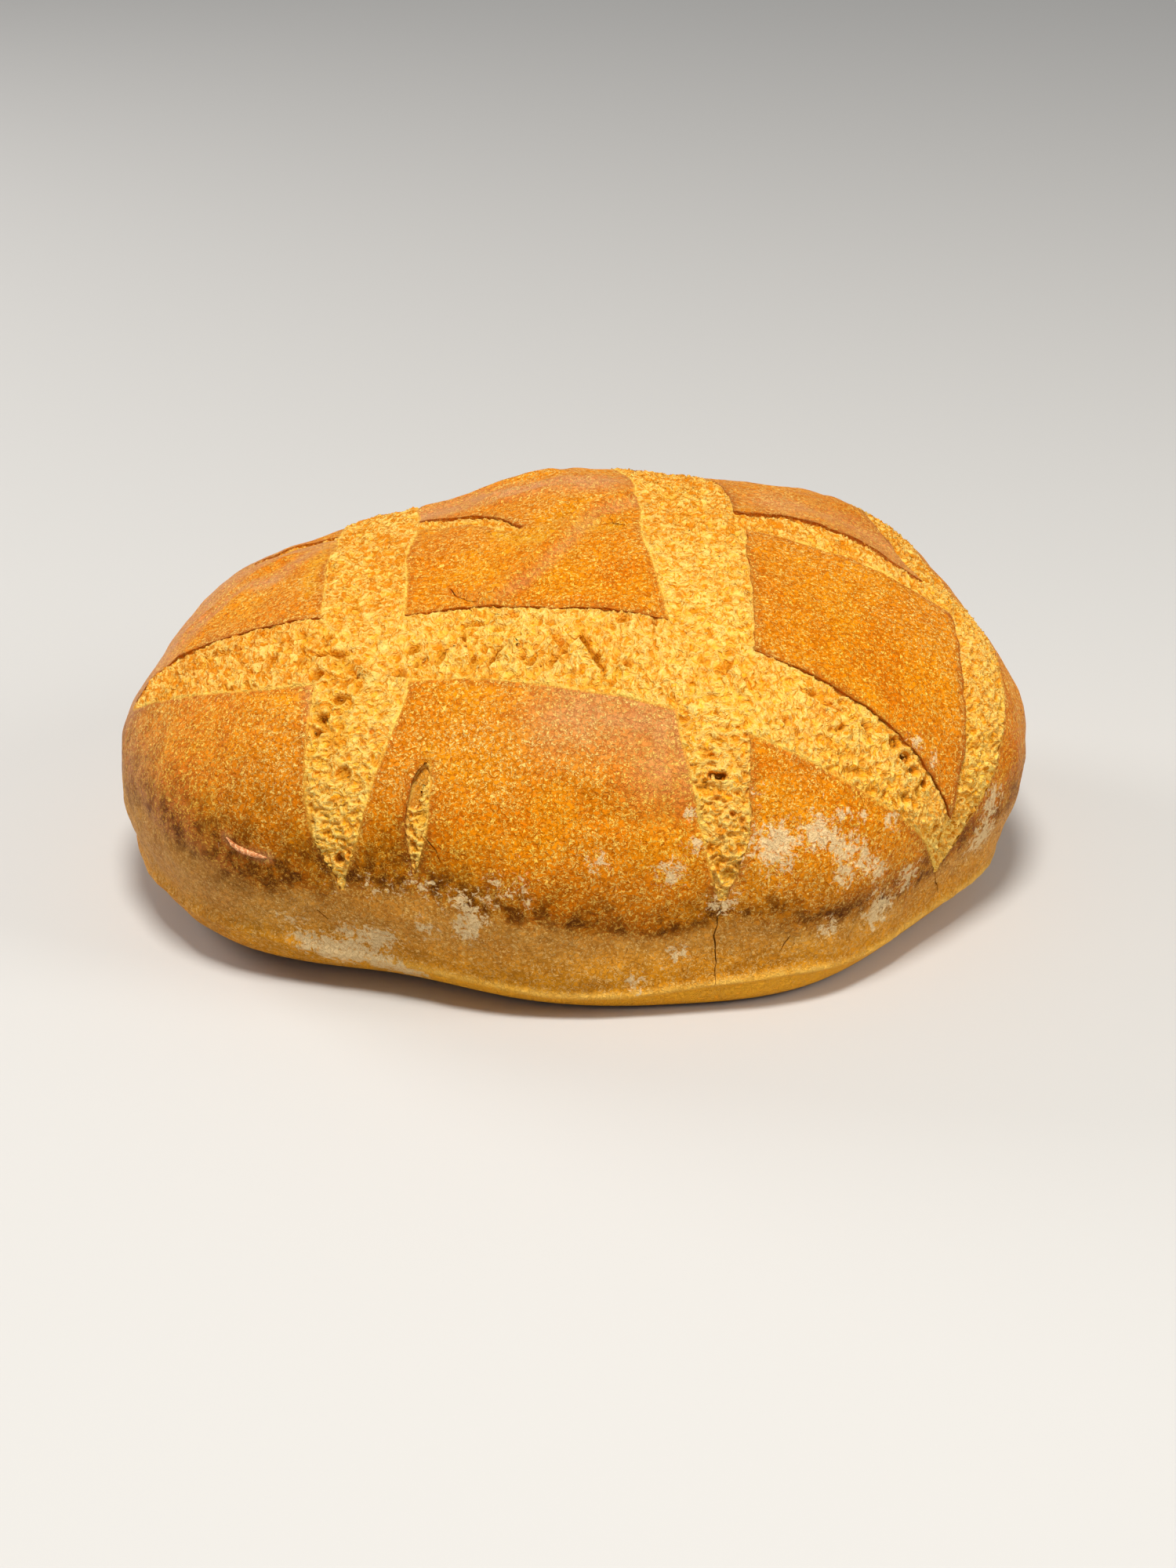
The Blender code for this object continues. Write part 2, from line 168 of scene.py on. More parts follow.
# Broad swellings: place on the map, radius, height
SWELLS = (
    (-0.0720, 0.0340, 0.0170, 0.0026), (-0.0560, 0.0200, 0.0100, 0.0006),
    (0.0600, 0.0400, 0.0150, 0.0010),
)
# The low ridge along the foot of the front, from the left end to the right end
RIDGE_AT = (-0.096, -0.084, -0.069, -0.057, -0.041, -0.025, -0.009, 0.008, 0.025, 0.044, 0.068)
RIDGE_LEVEL = (0.013, 0.012, 0.010, 0.010, 0.009, 0.0065, 0.006, 0.008, 0.009, 0.0075, 0.009)
RIDGE_HEIGHT = 0.0011
RIDGE_REACH = 0.0011
# Under the shoulder the wall is drawn in a little
WALL_LEVEL = 0.0175
WALL_HOLLOW = 0.0009
WALL_REACH = 0.0060

# Height of the browned line along the front, from the left end to the right end
TOAST_AT = (-0.104, -0.094, -0.080, -0.065, -0.050, -0.035, -0.015, 0.003, 0.014, 0.030,
            0.045, 0.062, 0.090)
TOAST_LEVEL = (0.036, 0.033, 0.031, 0.029, 0.032, 0.029, 0.024, 0.024, 0.026, 0.022,
               0.021, 0.021, 0.028)
# Browning along the shoulder: its level at the rear, where the front ends, and its sway in layers
REAR_TOAST_LEVEL = 0.030
FRONT_EDGE = 0.010
TOAST_SWAY = ((0.018, 0.0028, 4.0), (0.0055, 0.0020, 8.0))
# Its strength at the rear and at the front, how far round from the front it is strongest, and
# the share that is left at the loaf's left end
TOAST_STRENGTH = (0.32, 0.92)
TOAST_TURN = 0.25
LEFT_END_STRENGTH = (0.60, 1.0)
LEFT_END = (-0.108, -0.094)
# How far it reaches up and down, from the right to the left
TOAST_ABOVE = (0.0056, 0.0132)
TOAST_BELOW = (0.0030, 0.0060)
# The pale line on top of the foot's ridge, and where the ridge's own tones begin along X
BROW_REACH = 0.0009
FOOT_FADE = (-0.070, -0.035)
# Floured spots by weight: place on the map, radius; and how much stronger and wider each is laid
FLOUR_GAIN = 1.25
FLOUR_SPREAD = 1.291
FLOUR = {
    1.0: ((-0.1113, -0.0893, 0.004), (-0.1059, -0.0952, 0.004), (-0.1085, -0.0915, 0.0036),
          (-0.1015, -0.1066, 0.0034), (-0.103, -0.101, 0.0034), (-0.0986, -0.1135, 0.003)),
    0.9: ((0.026, -0.0999, 0.0046), (0.0364, -0.0946, 0.0035), (-0.1125, -0.0824, 0.0036),
          (-0.0914, -0.0965, 0.003), (-0.095, -0.0941, 0.0034)),
    0.8: ((0.041, -0.096, 0.003), (0.046, -0.0982, 0.0035), (0.053, -0.0995, 0.003),
          (0.0598, -0.1005, 0.0025), (0.0956, -0.0648, 0.004), (0.1016, -0.071, 0.005),
          (0.0694, -0.1103, 0.0045), (-0.0623, -0.107, 0.003), (-0.0998, -0.0884, 0.003),
          (-0.0581, -0.105, 0.003), (0.0477, -0.1045, 0.0026)),
    0.7: ((0.0469, -0.104, 0.0025), (0.0423, -0.0886, 0.0018), (0.0572, -0.087, 0.0026),
          (0.0596, -0.0656, 0.0022), (0.066, -0.068, 0.002), (0.0753, -0.0977, 0.004),
          (0.0143, -0.1165, 0.003), (-0.0197, -0.1027, 0.0023), (-0.001, -0.109, 0.003),
          (0.006, -0.102, 0.0022), (0.0016, -0.1341, 0.0026), (0.0298, -0.1049, 0.0018),
          (0.0485, -0.0879, 0.0014), (0.0563, -0.0997, 0.002)),
    0.6: ((0.0504, -0.1203, 0.003), (-0.0136, -0.1435, 0.0026), (-0.1075, -0.075, 0.0034),
          (-0.0747, -0.101, 0.003), (0.0054, -0.1017, 0.0026), (0.0049, -0.0934, 0.0018),
          (0.0609, -0.1061, 0.0018)),
    0.55: ((-0.0588, -0.1002, 0.0034),),
    0.5: ((-0.048, -0.101, 0.003), (-0.042, -0.104, 0.003), (0.02, -0.087, 0.0018),
          (0.018, -0.104, 0.0022)),
    0.45: ((-0.0674, -0.0905, 0.0034), (-0.0641, -0.0959, 0.0034), (-0.0525, -0.103, 0.0034)),
    0.4: ((-0.0856, -0.0764, 0.0026), (-0.0801, -0.0827, 0.003), (-0.0751, -0.0874, 0.003)),
}

# Fine cracks in the crust: places on the map
CRACKS = (
    ((-0.0975, -0.0776), (-0.0981, -0.0799), (-0.0988, -0.0823)),
    ((0.0370, -0.1307), (0.0376, -0.1269), (0.0383, -0.1236)),
    ((0.0894, -0.0901), (0.0960, -0.0922), (0.1039, -0.0938)),
    ((0.0142, -0.1140), (0.0135, -0.1255), (0.0149, -0.1316), (0.0176, -0.1480)),
    ((-0.0590, -0.0790), (-0.0583, -0.0840), (-0.0588, -0.0880)),
    ((0.0080, -0.0530), (0.0110, -0.0560), (0.0115, -0.0620)),
    ((-0.0100, -0.0121), (-0.0088, -0.0113), (-0.0076, -0.0108)),
    ((0.0006, -0.0090), (0.0022, -0.0093), (0.0040, -0.0108)),
    ((-0.0250, -0.0120), (-0.0254, -0.0160), (-0.0248, -0.0215)),
)
CRACK_WIDTH = 0.00045
CRACK_DEPTH = 0.0011
CRACK_WANDER = 0.6
CRACK_KINKS = 0.0016
CRACK_CLEARANCE = 0.003
# A curled flake that stands on the left shoulder
FLAKE = ((-0.0945, -0.0508), (-0.0952, -0.0546), (-0.0945, -0.0583), (-0.0934, -0.0612))
FLAKE_HEIGHT = 0.0009
FLAKE_HALF_WIDTH = 0.0007
FLAKE_CURL = 0.35
FLAKE_WOBBLE = 0.6
FLAKE_KINKS = 0.0009
FLAKE_ROOT = 0.0015
# Lines along which the crust is worn pale, partly a painted sheen: places on the map, reach, strength
PALE_AND_SHEEN_LINES = (
    (tuple((x + 0.0010, y - 0.0014) for x, y in FOLD), 0.0020, 0.65),
    (((-0.1120, -0.0150), (-0.1135, -0.0300), (-0.1140, -0.0480)), 0.0110, 0.7),
    (((-0.0300, 0.0225), (-0.0185, 0.0235), (-0.0105, 0.0185), (0.0045, 0.0110)), 0.0050, 0.9),
    (((-0.0960, 0.0060), (-0.0860, 0.0130), (-0.0760, 0.0200), (-0.0650, 0.0270)), 0.0085, 1.0),
    (((-0.0740, 0.0100), (-0.0600, 0.0120), (-0.0530, 0.0080), (-0.0450, 0.0180)), 0.0024, 0.8),
    (((-0.0620, 0.0240), (-0.0520, 0.0240), (-0.0450, 0.0220)), 0.0034, 0.8),
    (((-0.0180, -0.0615), (-0.0082, -0.0667), (-0.0005, -0.0716), (0.0003, -0.0796)), 0.0085, 0.55),
    (((0.0000, -0.0570), (0.0060, -0.0590), (0.0090, -0.0620)), 0.0040, 0.5),
    (((0.0340, 0.0070), (0.0480, 0.0010), (0.0640, -0.0080)), 0.0070, 0.5),
    (((-0.0540, -0.0280), (-0.0560, -0.0320), (-0.0580, -0.0360)), 0.0030, 0.5),
    (FLAKE, 0.0012, 1.0),
)
# Lines along which the crust is stretched thin and golden
GOLD_LINES = (
    (STRETCH, 0.0024, 0.9),
    (((-0.0493, -0.0613), (-0.0482, -0.0594), (-0.0473, -0.0574)), 0.0012, 0.7),
    (((-0.0090, -0.0040), (-0.0050, -0.0008), (0.0000, 0.0024)), 0.0026, 0.6),
    (((-0.0440, 0.0210), (-0.0442, 0.0080), (-0.0458, -0.0050)), 0.0020, 0.8),
)

# The opened crumb in three pieces, each between two places along the map's x
CRUMBS = (("crumb_left", -0.098, -0.020), ("crumb_middle", -0.020, 0.041), ("crumb_right", 0.041, 0.098))
CRUMB_REACH_Y = 0.240
CRUMB_STEP = 0.00034
CRUMB_MARGIN = 0.0016
CRUMB_THICKNESS = 0.0022
# Its level over the skin in a wide slash, how narrow and how wide a slash counts as a share of
# the full width, and how steeply the crumb drops under the crust
CRUMB_LEVEL = 0.0006
CRUMB_SHARE = (0.25, 1.0)
UNDER_CRUST_SLOPE = 1.2
# Bubbles and strands: sizes, and how deep or high they are
LARGE_BUBBLE = 0.0036
LARGE_DEPTH = 0.0009
SMALL_BUBBLE = 0.0017
SMALL_DEPTH = 0.0004
BUBBLE_PATCH = 0.011
BUBBLE_STEEPNESS = 1.8
STRAND_ALONG = 0.0017
STRAND_ACROSS = 0.0019
STRAND_HEIGHT = 0.00028
TEXTURE_LIFT = 0.0002
SWAY = 0.0011
SWAY_SIZE = 0.0026
# Pits in the crumb: the lip round each; place on the map, radius, depth
PIT_LIP = 0.0004
PITS = (
    (-0.035, -0.0309, 0.0014, 0.0014), (-0.038, -0.0291, 0.0017, 0.0013),
    (-0.0392, -0.0336, 0.0018, 0.001), (-0.0434, -0.0351, 0.0015, 0.0015),
    (-0.0214, -0.0443, 0.0013, 0.0012), (-0.0039, -0.054, 0.0012, 0.0012),
    (-0.0093, -0.0497, 0.0009, 0.001), (-0.021, -0.03, 0.0013, 0.0015),
    (-0.0025, -0.042, 0.0015, 0.0016), (0.0031, -0.0435, 0.0013, 0.0016),
    (-0.0574, -0.0187, 0.0014, 0.0018), (-0.056, -0.0204, 0.0012, 0.0015),
    (-0.059, -0.0204, 0.0012, 0.0016), (-0.053, -0.0156, 0.001, 0.001),
    (-0.0536, -0.0277, 0.0016, 0.0012), (-0.0471, -0.0195, 0.0012, 0.001),
    (-0.074, -0.0123, 0.0012, 0.0012), (-0.0564, -0.01, 0.0012, 0.0014),
    (-0.0652, -0.0547, 0.0016, 0.0014), (-0.0811, -0.0731, 0.0012, 0.0019),
    (-0.0548, -0.0478, 0.0007, 0.0008), (-0.0546, -0.0364, 0.0014, 0.0015),
    (-0.0597, -0.0397, 0.0013, 0.0013), (-0.0624, -0.0424, 0.001, 0.0012),
    (-0.051, -0.0628, 0.0014, 0.0022), (-0.0528, -0.0647, 0.0017, 0.0026),
    (-0.055, -0.067, 0.0017, 0.0022), (-0.057, -0.0695, 0.0014, 0.0013),
    (0.0105, -0.0787, 0.0008, 0.0009), (0.01, -0.0835, 0.0009, 0.0019),
    (0.0112, -0.0835, 0.0009, 0.0019), (0.0124, -0.0834, 0.0009, 0.0019),
    (0.0148, -0.0929, 0.0007, 0.0008), (0.0172, -0.0945, 0.0008, 0.0008),
    (0.0169, -0.0779, 0.0006, 0.0006), (0.0531, -0.0673, 0.0015, 0.0018),
    (0.0572, -0.0705, 0.0014, 0.0018), (0.0654, -0.0747, 0.0012, 0.0016),
    (0.0453, -0.0646, 0.0013, 0.0014), (0.0343, -0.0632, 0.0011, 0.001),
    (0.0267, -0.0666, 0.0012, 0.001), (0.0766, -0.0837, 0.0009, 0.001),
    (0.0823, -0.0861, 0.0009, 0.0012), (0.056, -0.015, 0.0018, 0.0024), (0.06, -0.073, 0.0012, 0.0016),
)
# Torn flaps of crumb: the tip that stands up and the two ends of its root, on the map
FLAPS = (
    ((-0.0310, -0.0308), (-0.0370, -0.0358), (-0.0318, -0.0420)),
    ((-0.0226, -0.0367), (-0.0294, -0.0420), (-0.0236, -0.0470)),
    ((-0.0116, -0.0441), (-0.0205, -0.0500), (-0.0098, -0.0558)),
    ((-0.0165, -0.0400), (-0.0215, -0.0425), (-0.0150, -0.0480)),
    ((-0.0480, -0.0300), (-0.0500, -0.0380), (-0.0420, -0.0400)),
    ((0.0170, -0.0540), (0.0120, -0.0600), (0.0200, -0.0640)),
    ((0.0420, -0.0640), (0.0370, -0.0690), (0.0440, -0.0730)),
)
FLAP_HEIGHT = 0.0019
# Lines along which the crumb is torn open
TEARS = (
    ((-0.0308, -0.0302), (-0.0344, -0.0326), (-0.0374, -0.0352)),
    ((-0.0224, -0.0361), (-0.0262, -0.0386), (-0.0298, -0.0414)),
    ((-0.0112, -0.0438), (-0.0099, -0.0500), (-0.0092, -0.0558)),
    ((-0.0300, -0.0262), (-0.0262, -0.0282), (-0.0225, -0.0296)),
    ((-0.0690, -0.0070), (-0.0667, -0.0082), (-0.0627, -0.0099), (-0.0588, -0.0121)),
    ((-0.0525, -0.0215), (-0.0515, -0.0222), (-0.0487, -0.0244), (-0.0460, -0.0250)),
    ((-0.0780, -0.0040), (-0.0740, -0.0058), (-0.0700, -0.0078)),
    ((0.0300, -0.0575), (0.0350, -0.0600), (0.0400, -0.0625)),
)
TEAR_DEPTH = 0.0014
TEAR_REACH = 0.0006

# The camera, and the point that it looks at
CAMERA_AZIMUTH = -12.0
CAMERA_ELEVATION = 26.2
CAMERA_DISTANCE = 0.7333
CAMERA_TARGET = (0.00378, 0.0016, 0.01722)
CAMERA_LENS = 72.0
SENSOR = 36.0

# Cells along each side of the cube that is blown up into the crust, finer on one side of the loaf
CRUST_CELLS = 124
FINE_SIDE = (-0.02, -0.22, 0.14)
SHARP_DEGREES = 38
# Points under the first level are on the base, and faces under the second are merged into it;
# lengths are painted in millimetres; and a length that keeps a division from failing at a pole
BASE_LEVEL = 0.000001
MERGED_LEVEL = 0.00001
MILLIMETRES = 1000
TINY = 1e-12

# The floor, the world's light, and each lamp: place, what it points at, size, watts, colour
FLOOR_SIZE = 3.0
FLOOR_LEVEL = -0.0002
FLOOR_COLOUR = (0.60, 0.59, 0.57, 1.0)
WORLD_COLOUR = (0.85, 0.88, 0.92, 1.0)
WORLD_STRENGTH = 0.28
LIGHTS = {
    "key": ((-0.12, -0.38, 1.05), (0, 0, 0.03), 0.30, 11.5, (1.0, 0.97, 0.92)),
    "fill": ((0.85, -0.55, 0.65), (0, 0, 0.03), 0.6, 4.6, (1.0, 0.96, 0.90)),
    "rear": ((-0.75, 0.65, 0.42), (0, 0, 0.05), 0.5, 5.0, (1.0, 0.97, 0.95)),
}

# Sizes of the marks on the crust and in the crumb, and depths of their bumps
STROKES = 0.00085
GRIT = 0.0019
FRECKLES = 0.0045
PATCHES = 0.014
BROAD_PATCHES = 0.040
DUST = 0.0016
BUMPS = 0.0030
CRUST_BUMP = 0.0010
FLAKE_STROKES = 0.0009
CRUMB_STROKES = 0.0013
CRUMB_PATCHES = 0.010
WIDE_CELLS = 0.0022
NARROW_CELLS = 0.0011
CRUMB_SWAY = 0.0036
CRUMB_SWAY_SIZE = 0.0026
CRUMB_BUMP = 0.0005
# Threads in the crumb: their size, and the turn and scale that lay them across a slash that runs
# along the loaf, and across one that runs from front to rear
THREAD_SIZE = 0.00085
THREADS = ((0.48, (1.0, 0.35, 0.45)), (0.0, (0.30, 1.0, 0.7)))

# Tones as they look on a screen: red, green and blue from 0 to 255
TONES = {
    # Fleck tones are partly painted highlights; stroke and grit tones are partly painted shade
    "baked": (226, 120, 0), "baked light": (246, 148, 4), "sunny": (244, 154, 26),
    "freckle": (206, 112, 2), "rim": (196, 108, 30), "rubbed_and_sheen": (214, 142, 84),
    "golden": (240, 166, 26), "grit_and_shade": (184, 94, 0), "stroke_and_shade": (172, 86, 0),
    "fleck_and_highlight": (255, 200, 78), "pale fleck": (255, 212, 118), "rubbed fleck": (220, 156, 104),
    "seam": (246, 178, 62), "shaded edge": (166, 84, 14),
    "low wall": (250, 168, 26), "high wall": (236, 168, 70), "wall patch": (186, 114, 30),
    "wall freckle": (160, 98, 22), "wall stroke": (140, 80, 10), "wall fleck": (252, 204, 124),
    "char": (86, 42, 0), "char fleck": (208, 134, 40), "foot": (255, 182, 48),
    "foot stroke": (255, 154, 22), "brow": (255, 200, 92), "base": (150, 88, 32),
    "base freckle": (186, 118, 50), "flour": (248, 216, 160),
    "torn": (226, 152, 44), "torn fleck": (250, 196, 96),
    "flake": (204, 122, 60), "flake fleck": (246, 190, 132), "flake stroke": (150, 84, 30),
    # The crumb's lit tone is a painted highlight; its gap, side and pit tones are painted shade
    "crumb": (252, 166, 16), "crumb light": (255, 186, 40), "crumb lit": (255, 224, 128),
    "crumb gap shade": (224, 134, 2), "crumb stroke": (214, 124, 0), "crumb side shade": (220, 128, 6),
    "crumb pit shade": (192, 118, 4), "crumb edge": (255, 206, 92),
}


def unit(vectors):
    return vectors / np.linalg.norm(vectors, axis=1)[:, None]


def between(ends, share):
    """A value between two ends, by a share from 0 to 1."""
    return ends[0] + (ends[1] - ends[0]) * share


def fade(value, low, high):
    """0 below low, 1 above high, smooth between."""
    share = np.clip((value - low) / (high - low), 0, 1)
    return share * share * (3 - 2 * share)


def hump(away, reach):
    """1 where away is 0, falling smoothly to nearly 0 at twice the reach."""
    return np.exp(-(away / reach) ** 2)


def spline(before, start, end, after, share):
    """Catmull-Rom between start and end."""
    bend = 2 * before - 5 * start + 4 * end - after
    twist = 3 * start - before - 3 * end + after
    return start + 0.5 * share * ((end - before) + share * (bend + share * twist))


def closed_curve(values, turn):
    """A smooth closed curve through evenly spaced values, read at turn, where 1 is once round."""
    values = np.asarray(values)
    place = (turn % 1.0) * len(values)
    index = np.floor(place).astype(int)
    around = [values[(index + step) % len(values)] for step in (-1, 0, 1, 2)]
    return spline(*around, place - index)


def open_curve(values, share):
    """A smooth curve through evenly spaced values, read at share from 0 to 1."""
    values = np.asarray(values, dtype=float)
    last = len(values) - 1
    place = np.clip(share, 0.0, 1.0) * last
    index = np.minimum(np.floor(place).astype(int), last - 1)
    ends = (2 * values[:1] - values[1:2], values, 2 * values[-1:] - values[-2:-1])
    padded = np.concatenate(ends)
    part = place - index
    if values.ndim > 1:
        part = part[:, None]
    return spline(*(padded[index + step] for step in range(4)), part)


def skin(direction):
    """The skin's points for unit directions from the loaf's middle, before any relief."""
    across = np.hypot(direction[:, 0], direction[:, 1]) + TINY
    cosine = direction[:, 0] / across
    sine = direction[:, 1] / across
    turn = np.arctan2(sine, cosine) / (2 * np.pi)
    radius = closed_curve(OUTLINE, turn)
    tuck = closed_curve(TUCK_IN, turn)
    up = direction[:, 2] >= 0
    down_degrees = np.degrees(np.arcsin(np.clip(-direction[:, 2], 0, 1)))
    wall = np.radians(90 * np.clip(down_degrees / WALL_DEGREES, 0, 1))
    wall_reach = 1 - tuck * (1 - np.clip(np.cos(wall), 0, 1) ** WALL_POWER)
    base_reach = (1 - tuck) * (90 - down_degrees) / (90 - WALL_DEGREES)
    reach = np.where(down_degrees < WALL_DEGREES, wall_reach, base_reach)
    reach = np.where(up, across ** DOME_POWER, reach)
    x = radius * cosine * reach
    y = radius * sine * reach
    crown = open_curve(CROWN, (x + CROWN_REACH) / (2 * CROWN_REACH))
    dome = WAIST_HEIGHT + (crown - WAIST_HEIGHT) * np.abs(direction[:, 2]) ** DOME_POWER
    foot = WAIST_HEIGHT * (1 - np.sin(wall) ** WALL_POWER)
    z = np.where(up, dome, foot)
    return np.stack((x + CENTRE[0], y + CENTRE[1], z), axis=1)


def outward(direction, step=0.002):
    """The skin's outward normals for unit directions."""
    helper = np.where(np.abs(direction[:, 2:3]) < 0.7, (0.0, 0.0, 1.0), (1.0, 0.0, 0.0))
    first = unit(np.cross(helper, direction))
    second = np.cross(direction, first)
    sides = [skin(unit(direction + step * way)) - skin(unit(direction - step * way))
             for way in (first, second)]
    normal = np.cross(*sides)
    return normal / np.maximum(np.linalg.norm(normal, axis=1), TINY)[:, None]


def map_skin(place):
    """The skin's points for places on the round map, whose middle is straight up."""
    place = np.asarray(place, dtype=float)
    away = np.hypot(place[:, 0], place[:, 1]) + TINY
    lean = away / MAP_RADIUS * np.pi / 2
    flat = place / away[:, None] * np.sin(lean)[:, None]
    return skin(np.column_stack((flat, np.cos(lean))))


def slopes(place, step=0.0004):
    """How the skin runs as the map's x and y grow, and its outward normal."""
    run_x = (map_skin(place + (step, 0)) - map_skin(place - (step, 0))) / (2 * step)
    run_y = (map_skin(place + (0, step)) - map_skin(place - (0, step))) / (2 * step)
    return run_x, run_y, unit(np.cross(run_x, run_y))


def step_to(place, target):
    """Moves places on the map towards those whose skin is nearest to the target points."""
    run_x, run_y, _ = slopes(place)
    gap = target - map_skin(place)
    xx = (run_x * run_x).sum(1)
    yy = (run_y * run_y).sum(1)
    xy = (run_x * run_y).sum(1)
    gap_x = (run_x * gap).sum(1)
    gap_y = (run_y * gap).sum(1)
    size = xx * yy - xy * xy
    move = np.column_stack((yy * gap_x - xy * gap_y, xx * gap_y - xy * gap_x))
    return place + move / size[:, None]


class Slash:
    """One slash: points along its middle, the way across it, and its half width."""

    def __init__(self, name, step):
        stations = np.array(SLASHES[name])
        rough = map_skin(stations[:, :2])
        length = np.linalg.norm(np.diff(rough, axis=0), axis=1).sum()
        count = max(8, int(round(length / step)))
        line = open_curve(stations, np.linspace(0, 1, count + 1))
        self.places = line[:, :2]
        self.half = np.maximum(line[:, 2], LEAST_WIDTH) / 2
        self.middle = map_skin(self.places)
        self.across = sideways(self.middle, slopes(self.places)[2])
        self.gape = between(GAPE, fade(self.middle[:, 0], *GAPE_FADE))
        self.gaps = GAPS[name]

    def measure(self, points):
        """For each point: nearest place along, distance inside the edge, and its side."""
        square = (points ** 2).sum(1)[:, None] + (self.middle ** 2).sum(1)[None]
        away = np.sqrt(np.maximum(square - 2 * points @ self.middle.T, 0))
        index = (away - self.half).argmin(1)
        inside = (self.half - away)[np.arange(len(points)), index]
        side = ((points - self.middle[index]) * self.across[index]).sum(1)
        return index, inside, side

    def gap(self, index, side):
        """How far the lip stands over the crumb at stations, by side."""
        return np.where(side > 0, self.gaps[1], self.gaps[0]) * self.gape[index]


def sideways(line, normal):
    """Unit vectors across a line of points on the loaf."""
    return unit(np.cross(normal, unit(np.gradient(line, axis=0))))


slash_lines = {name: Slash(name, MEASURING_STEP) for name in SLASHES}


def measure_slashes(points):
    """All slashes' measures of the points, by name."""
    return {name: slash.measure(points) for name, slash in slash_lines.items()}


def grain(points, size, moved=0.0):
    """Smooth noise from about -1 to 1 whose lumps are the size given."""
    return np.array([noise.noise(p) for p in (points / size + moved).tolist()])


def layered(points, layers):
    """Noise in layers, each given as the size of its lumps, its height and how far it is moved."""
    return sum(height * grain(points, size, *moved) for size, height, *moved in layers)


def bubbles(points, size, moved=0.0):
    """Cell walls: 0 in the middle of a bubble, near 1 on the web between bubbles."""
    scaled = (points / size + moved).tolist()
    near = np.array([noise.voronoi(p)[0][:2] for p in scaled])
    return (1 - np.clip((near[:, 1] - near[:, 0]) * BUBBLE_STEEPNESS, 0, 1)) ** 2


def near_place(points, x, y):
    """Distance of the points to one place on the map."""
    return np.linalg.norm(points - map_skin([[x, y]]), axis=1)


def near_line(points, places):
    """Distance of the points to a smooth line through places on the map."""
    line = map_skin(open_curve(places, np.linspace(0, 1, 40)))
    tree = kdtree.KDTree(len(line))
    for index, point in enumerate(line):
        tree.insert(point, index)
    tree.balance()
    return np.array([tree.find(p)[2] for p in points.tolist()])


def vertex_array(mesh):
    points = np.empty(len(mesh.vertices) * 3)
    mesh.vertices.foreach_get("co", points)
    return points.reshape(-1, 3)


def place_vertices(mesh, points):
    mesh.vertices.foreach_set("co", np.ascontiguousarray(points, dtype=float).ravel())
    mesh.update()


def paint(mesh, name, values):
    """Writes one number for each vertex, for the materials to read."""
    layer = mesh.attributes.new(name, "FLOAT", "POINT")
    layer.data.foreach_set("value", np.asarray(values, dtype=np.float32))


def apply_modifier(piece, modifier):
    bpy.context.view_layer.objects.active = piece
    bpy.ops.object.modifier_apply(modifier=modifier.name)


def lip_relief(points):
    """The crust rises beside a slash, most where its lip gapes."""
    lift = np.zeros(len(points))
    for name, (index, inside, side) in measure_slashes(points).items():
        slash = slash_lines[name]
        strength = np.minimum(1.0, 2 * slash.half[index] / FULL_WIDTH)
        height = LIP_HEIGHT + LIP_PER_GAP * slash.gap(index, side)
        lift = np.maximum(lift, height * strength * hump(np.minimum(inside, 0), LIP_REACH))
    return lift * fade(points[:, 2], *LIP_FADE)


def ridge_level(points):
    return np.interp(points[:, 0] - CENTRE[0], RIDGE_AT, RIDGE_LEVEL)


def swell(points):
    """The loaf's broad swells and waves over the skin."""
    rise = layered(points, WAVES)
    for x, y, radius, height in SWELLS:
        rise += height * hump(near_place(points, x, y), radius)
    return rise * fade(points[:, 2], *WAVE_FADE)


def crust_relief(points):
    """How far the crust stands out from the skin."""
    folds = sum(height * hump(near_line(points, places), reach) for places, height, reach in FOLDS)
    z = points[:, 2]
    ridge = RIDGE_HEIGHT * hump(z - ridge_level(points), RIDGE_REACH)
    hollow = WALL_HOLLOW * hump(z - WALL_LEVEL, WALL_REACH)
    return swell(points) + folds * fade(z, *WAVE_FADE) + lip_relief(points) + ridge - hollow


def start_editing(piece, selection):
    """Opens a piece in edit mode with all of it or none of it selected."""
    bpy.context.view_layer.objects.active = piece
    bpy.ops.object.mode_set(mode="EDIT")
    bpy.ops.mesh.select_all(action=selection)


def stop_editing():
    bpy.ops.object.mode_set(mode="OBJECT")


def merge_base(piece):
    """Makes the flat base of a piece one face."""
    start_editing(piece, "DESELECT")
    stop_editing()
    for face in piece.data.polygons:
        face.select = all(piece.data.vertices[v].co.z < MERGED_LEVEL for v in face.vertices)
    bpy.ops.object.mode_set(mode="EDIT")
    bpy.ops.mesh.select_mode(type="FACE")
    bpy.ops.mesh.dissolve_faces()
    stop_editing()


def blown_up_cube():
    """A cube cut into cells, blown up into the loaf with all its relief."""
    bpy.ops.mesh.primitive_cube_add(size=2.0)
    loaf = bpy.context.object
    loaf.name = "crust"
    start_editing(loaf, "SELECT")
    bpy.ops.mesh.subdivide(number_cuts=CRUST_CELLS - 1)
    stop_editing()
    direction = unit(np.tan(vertex_array(loaf.data) * np.pi / 4))
    direction = unit(direction + FINE_SIDE)
    points = skin(direction)
    raised = points + outward(direction) * crust_relief(points)[:, None]
    raised[:, 2] = np.where(points[:, 2] < BASE_LEVEL, 0.0, np.maximum(raised[:, 2], 0.0))
    place_vertices(loaf.data, raised)
    merge_base(loaf)
    return loaf


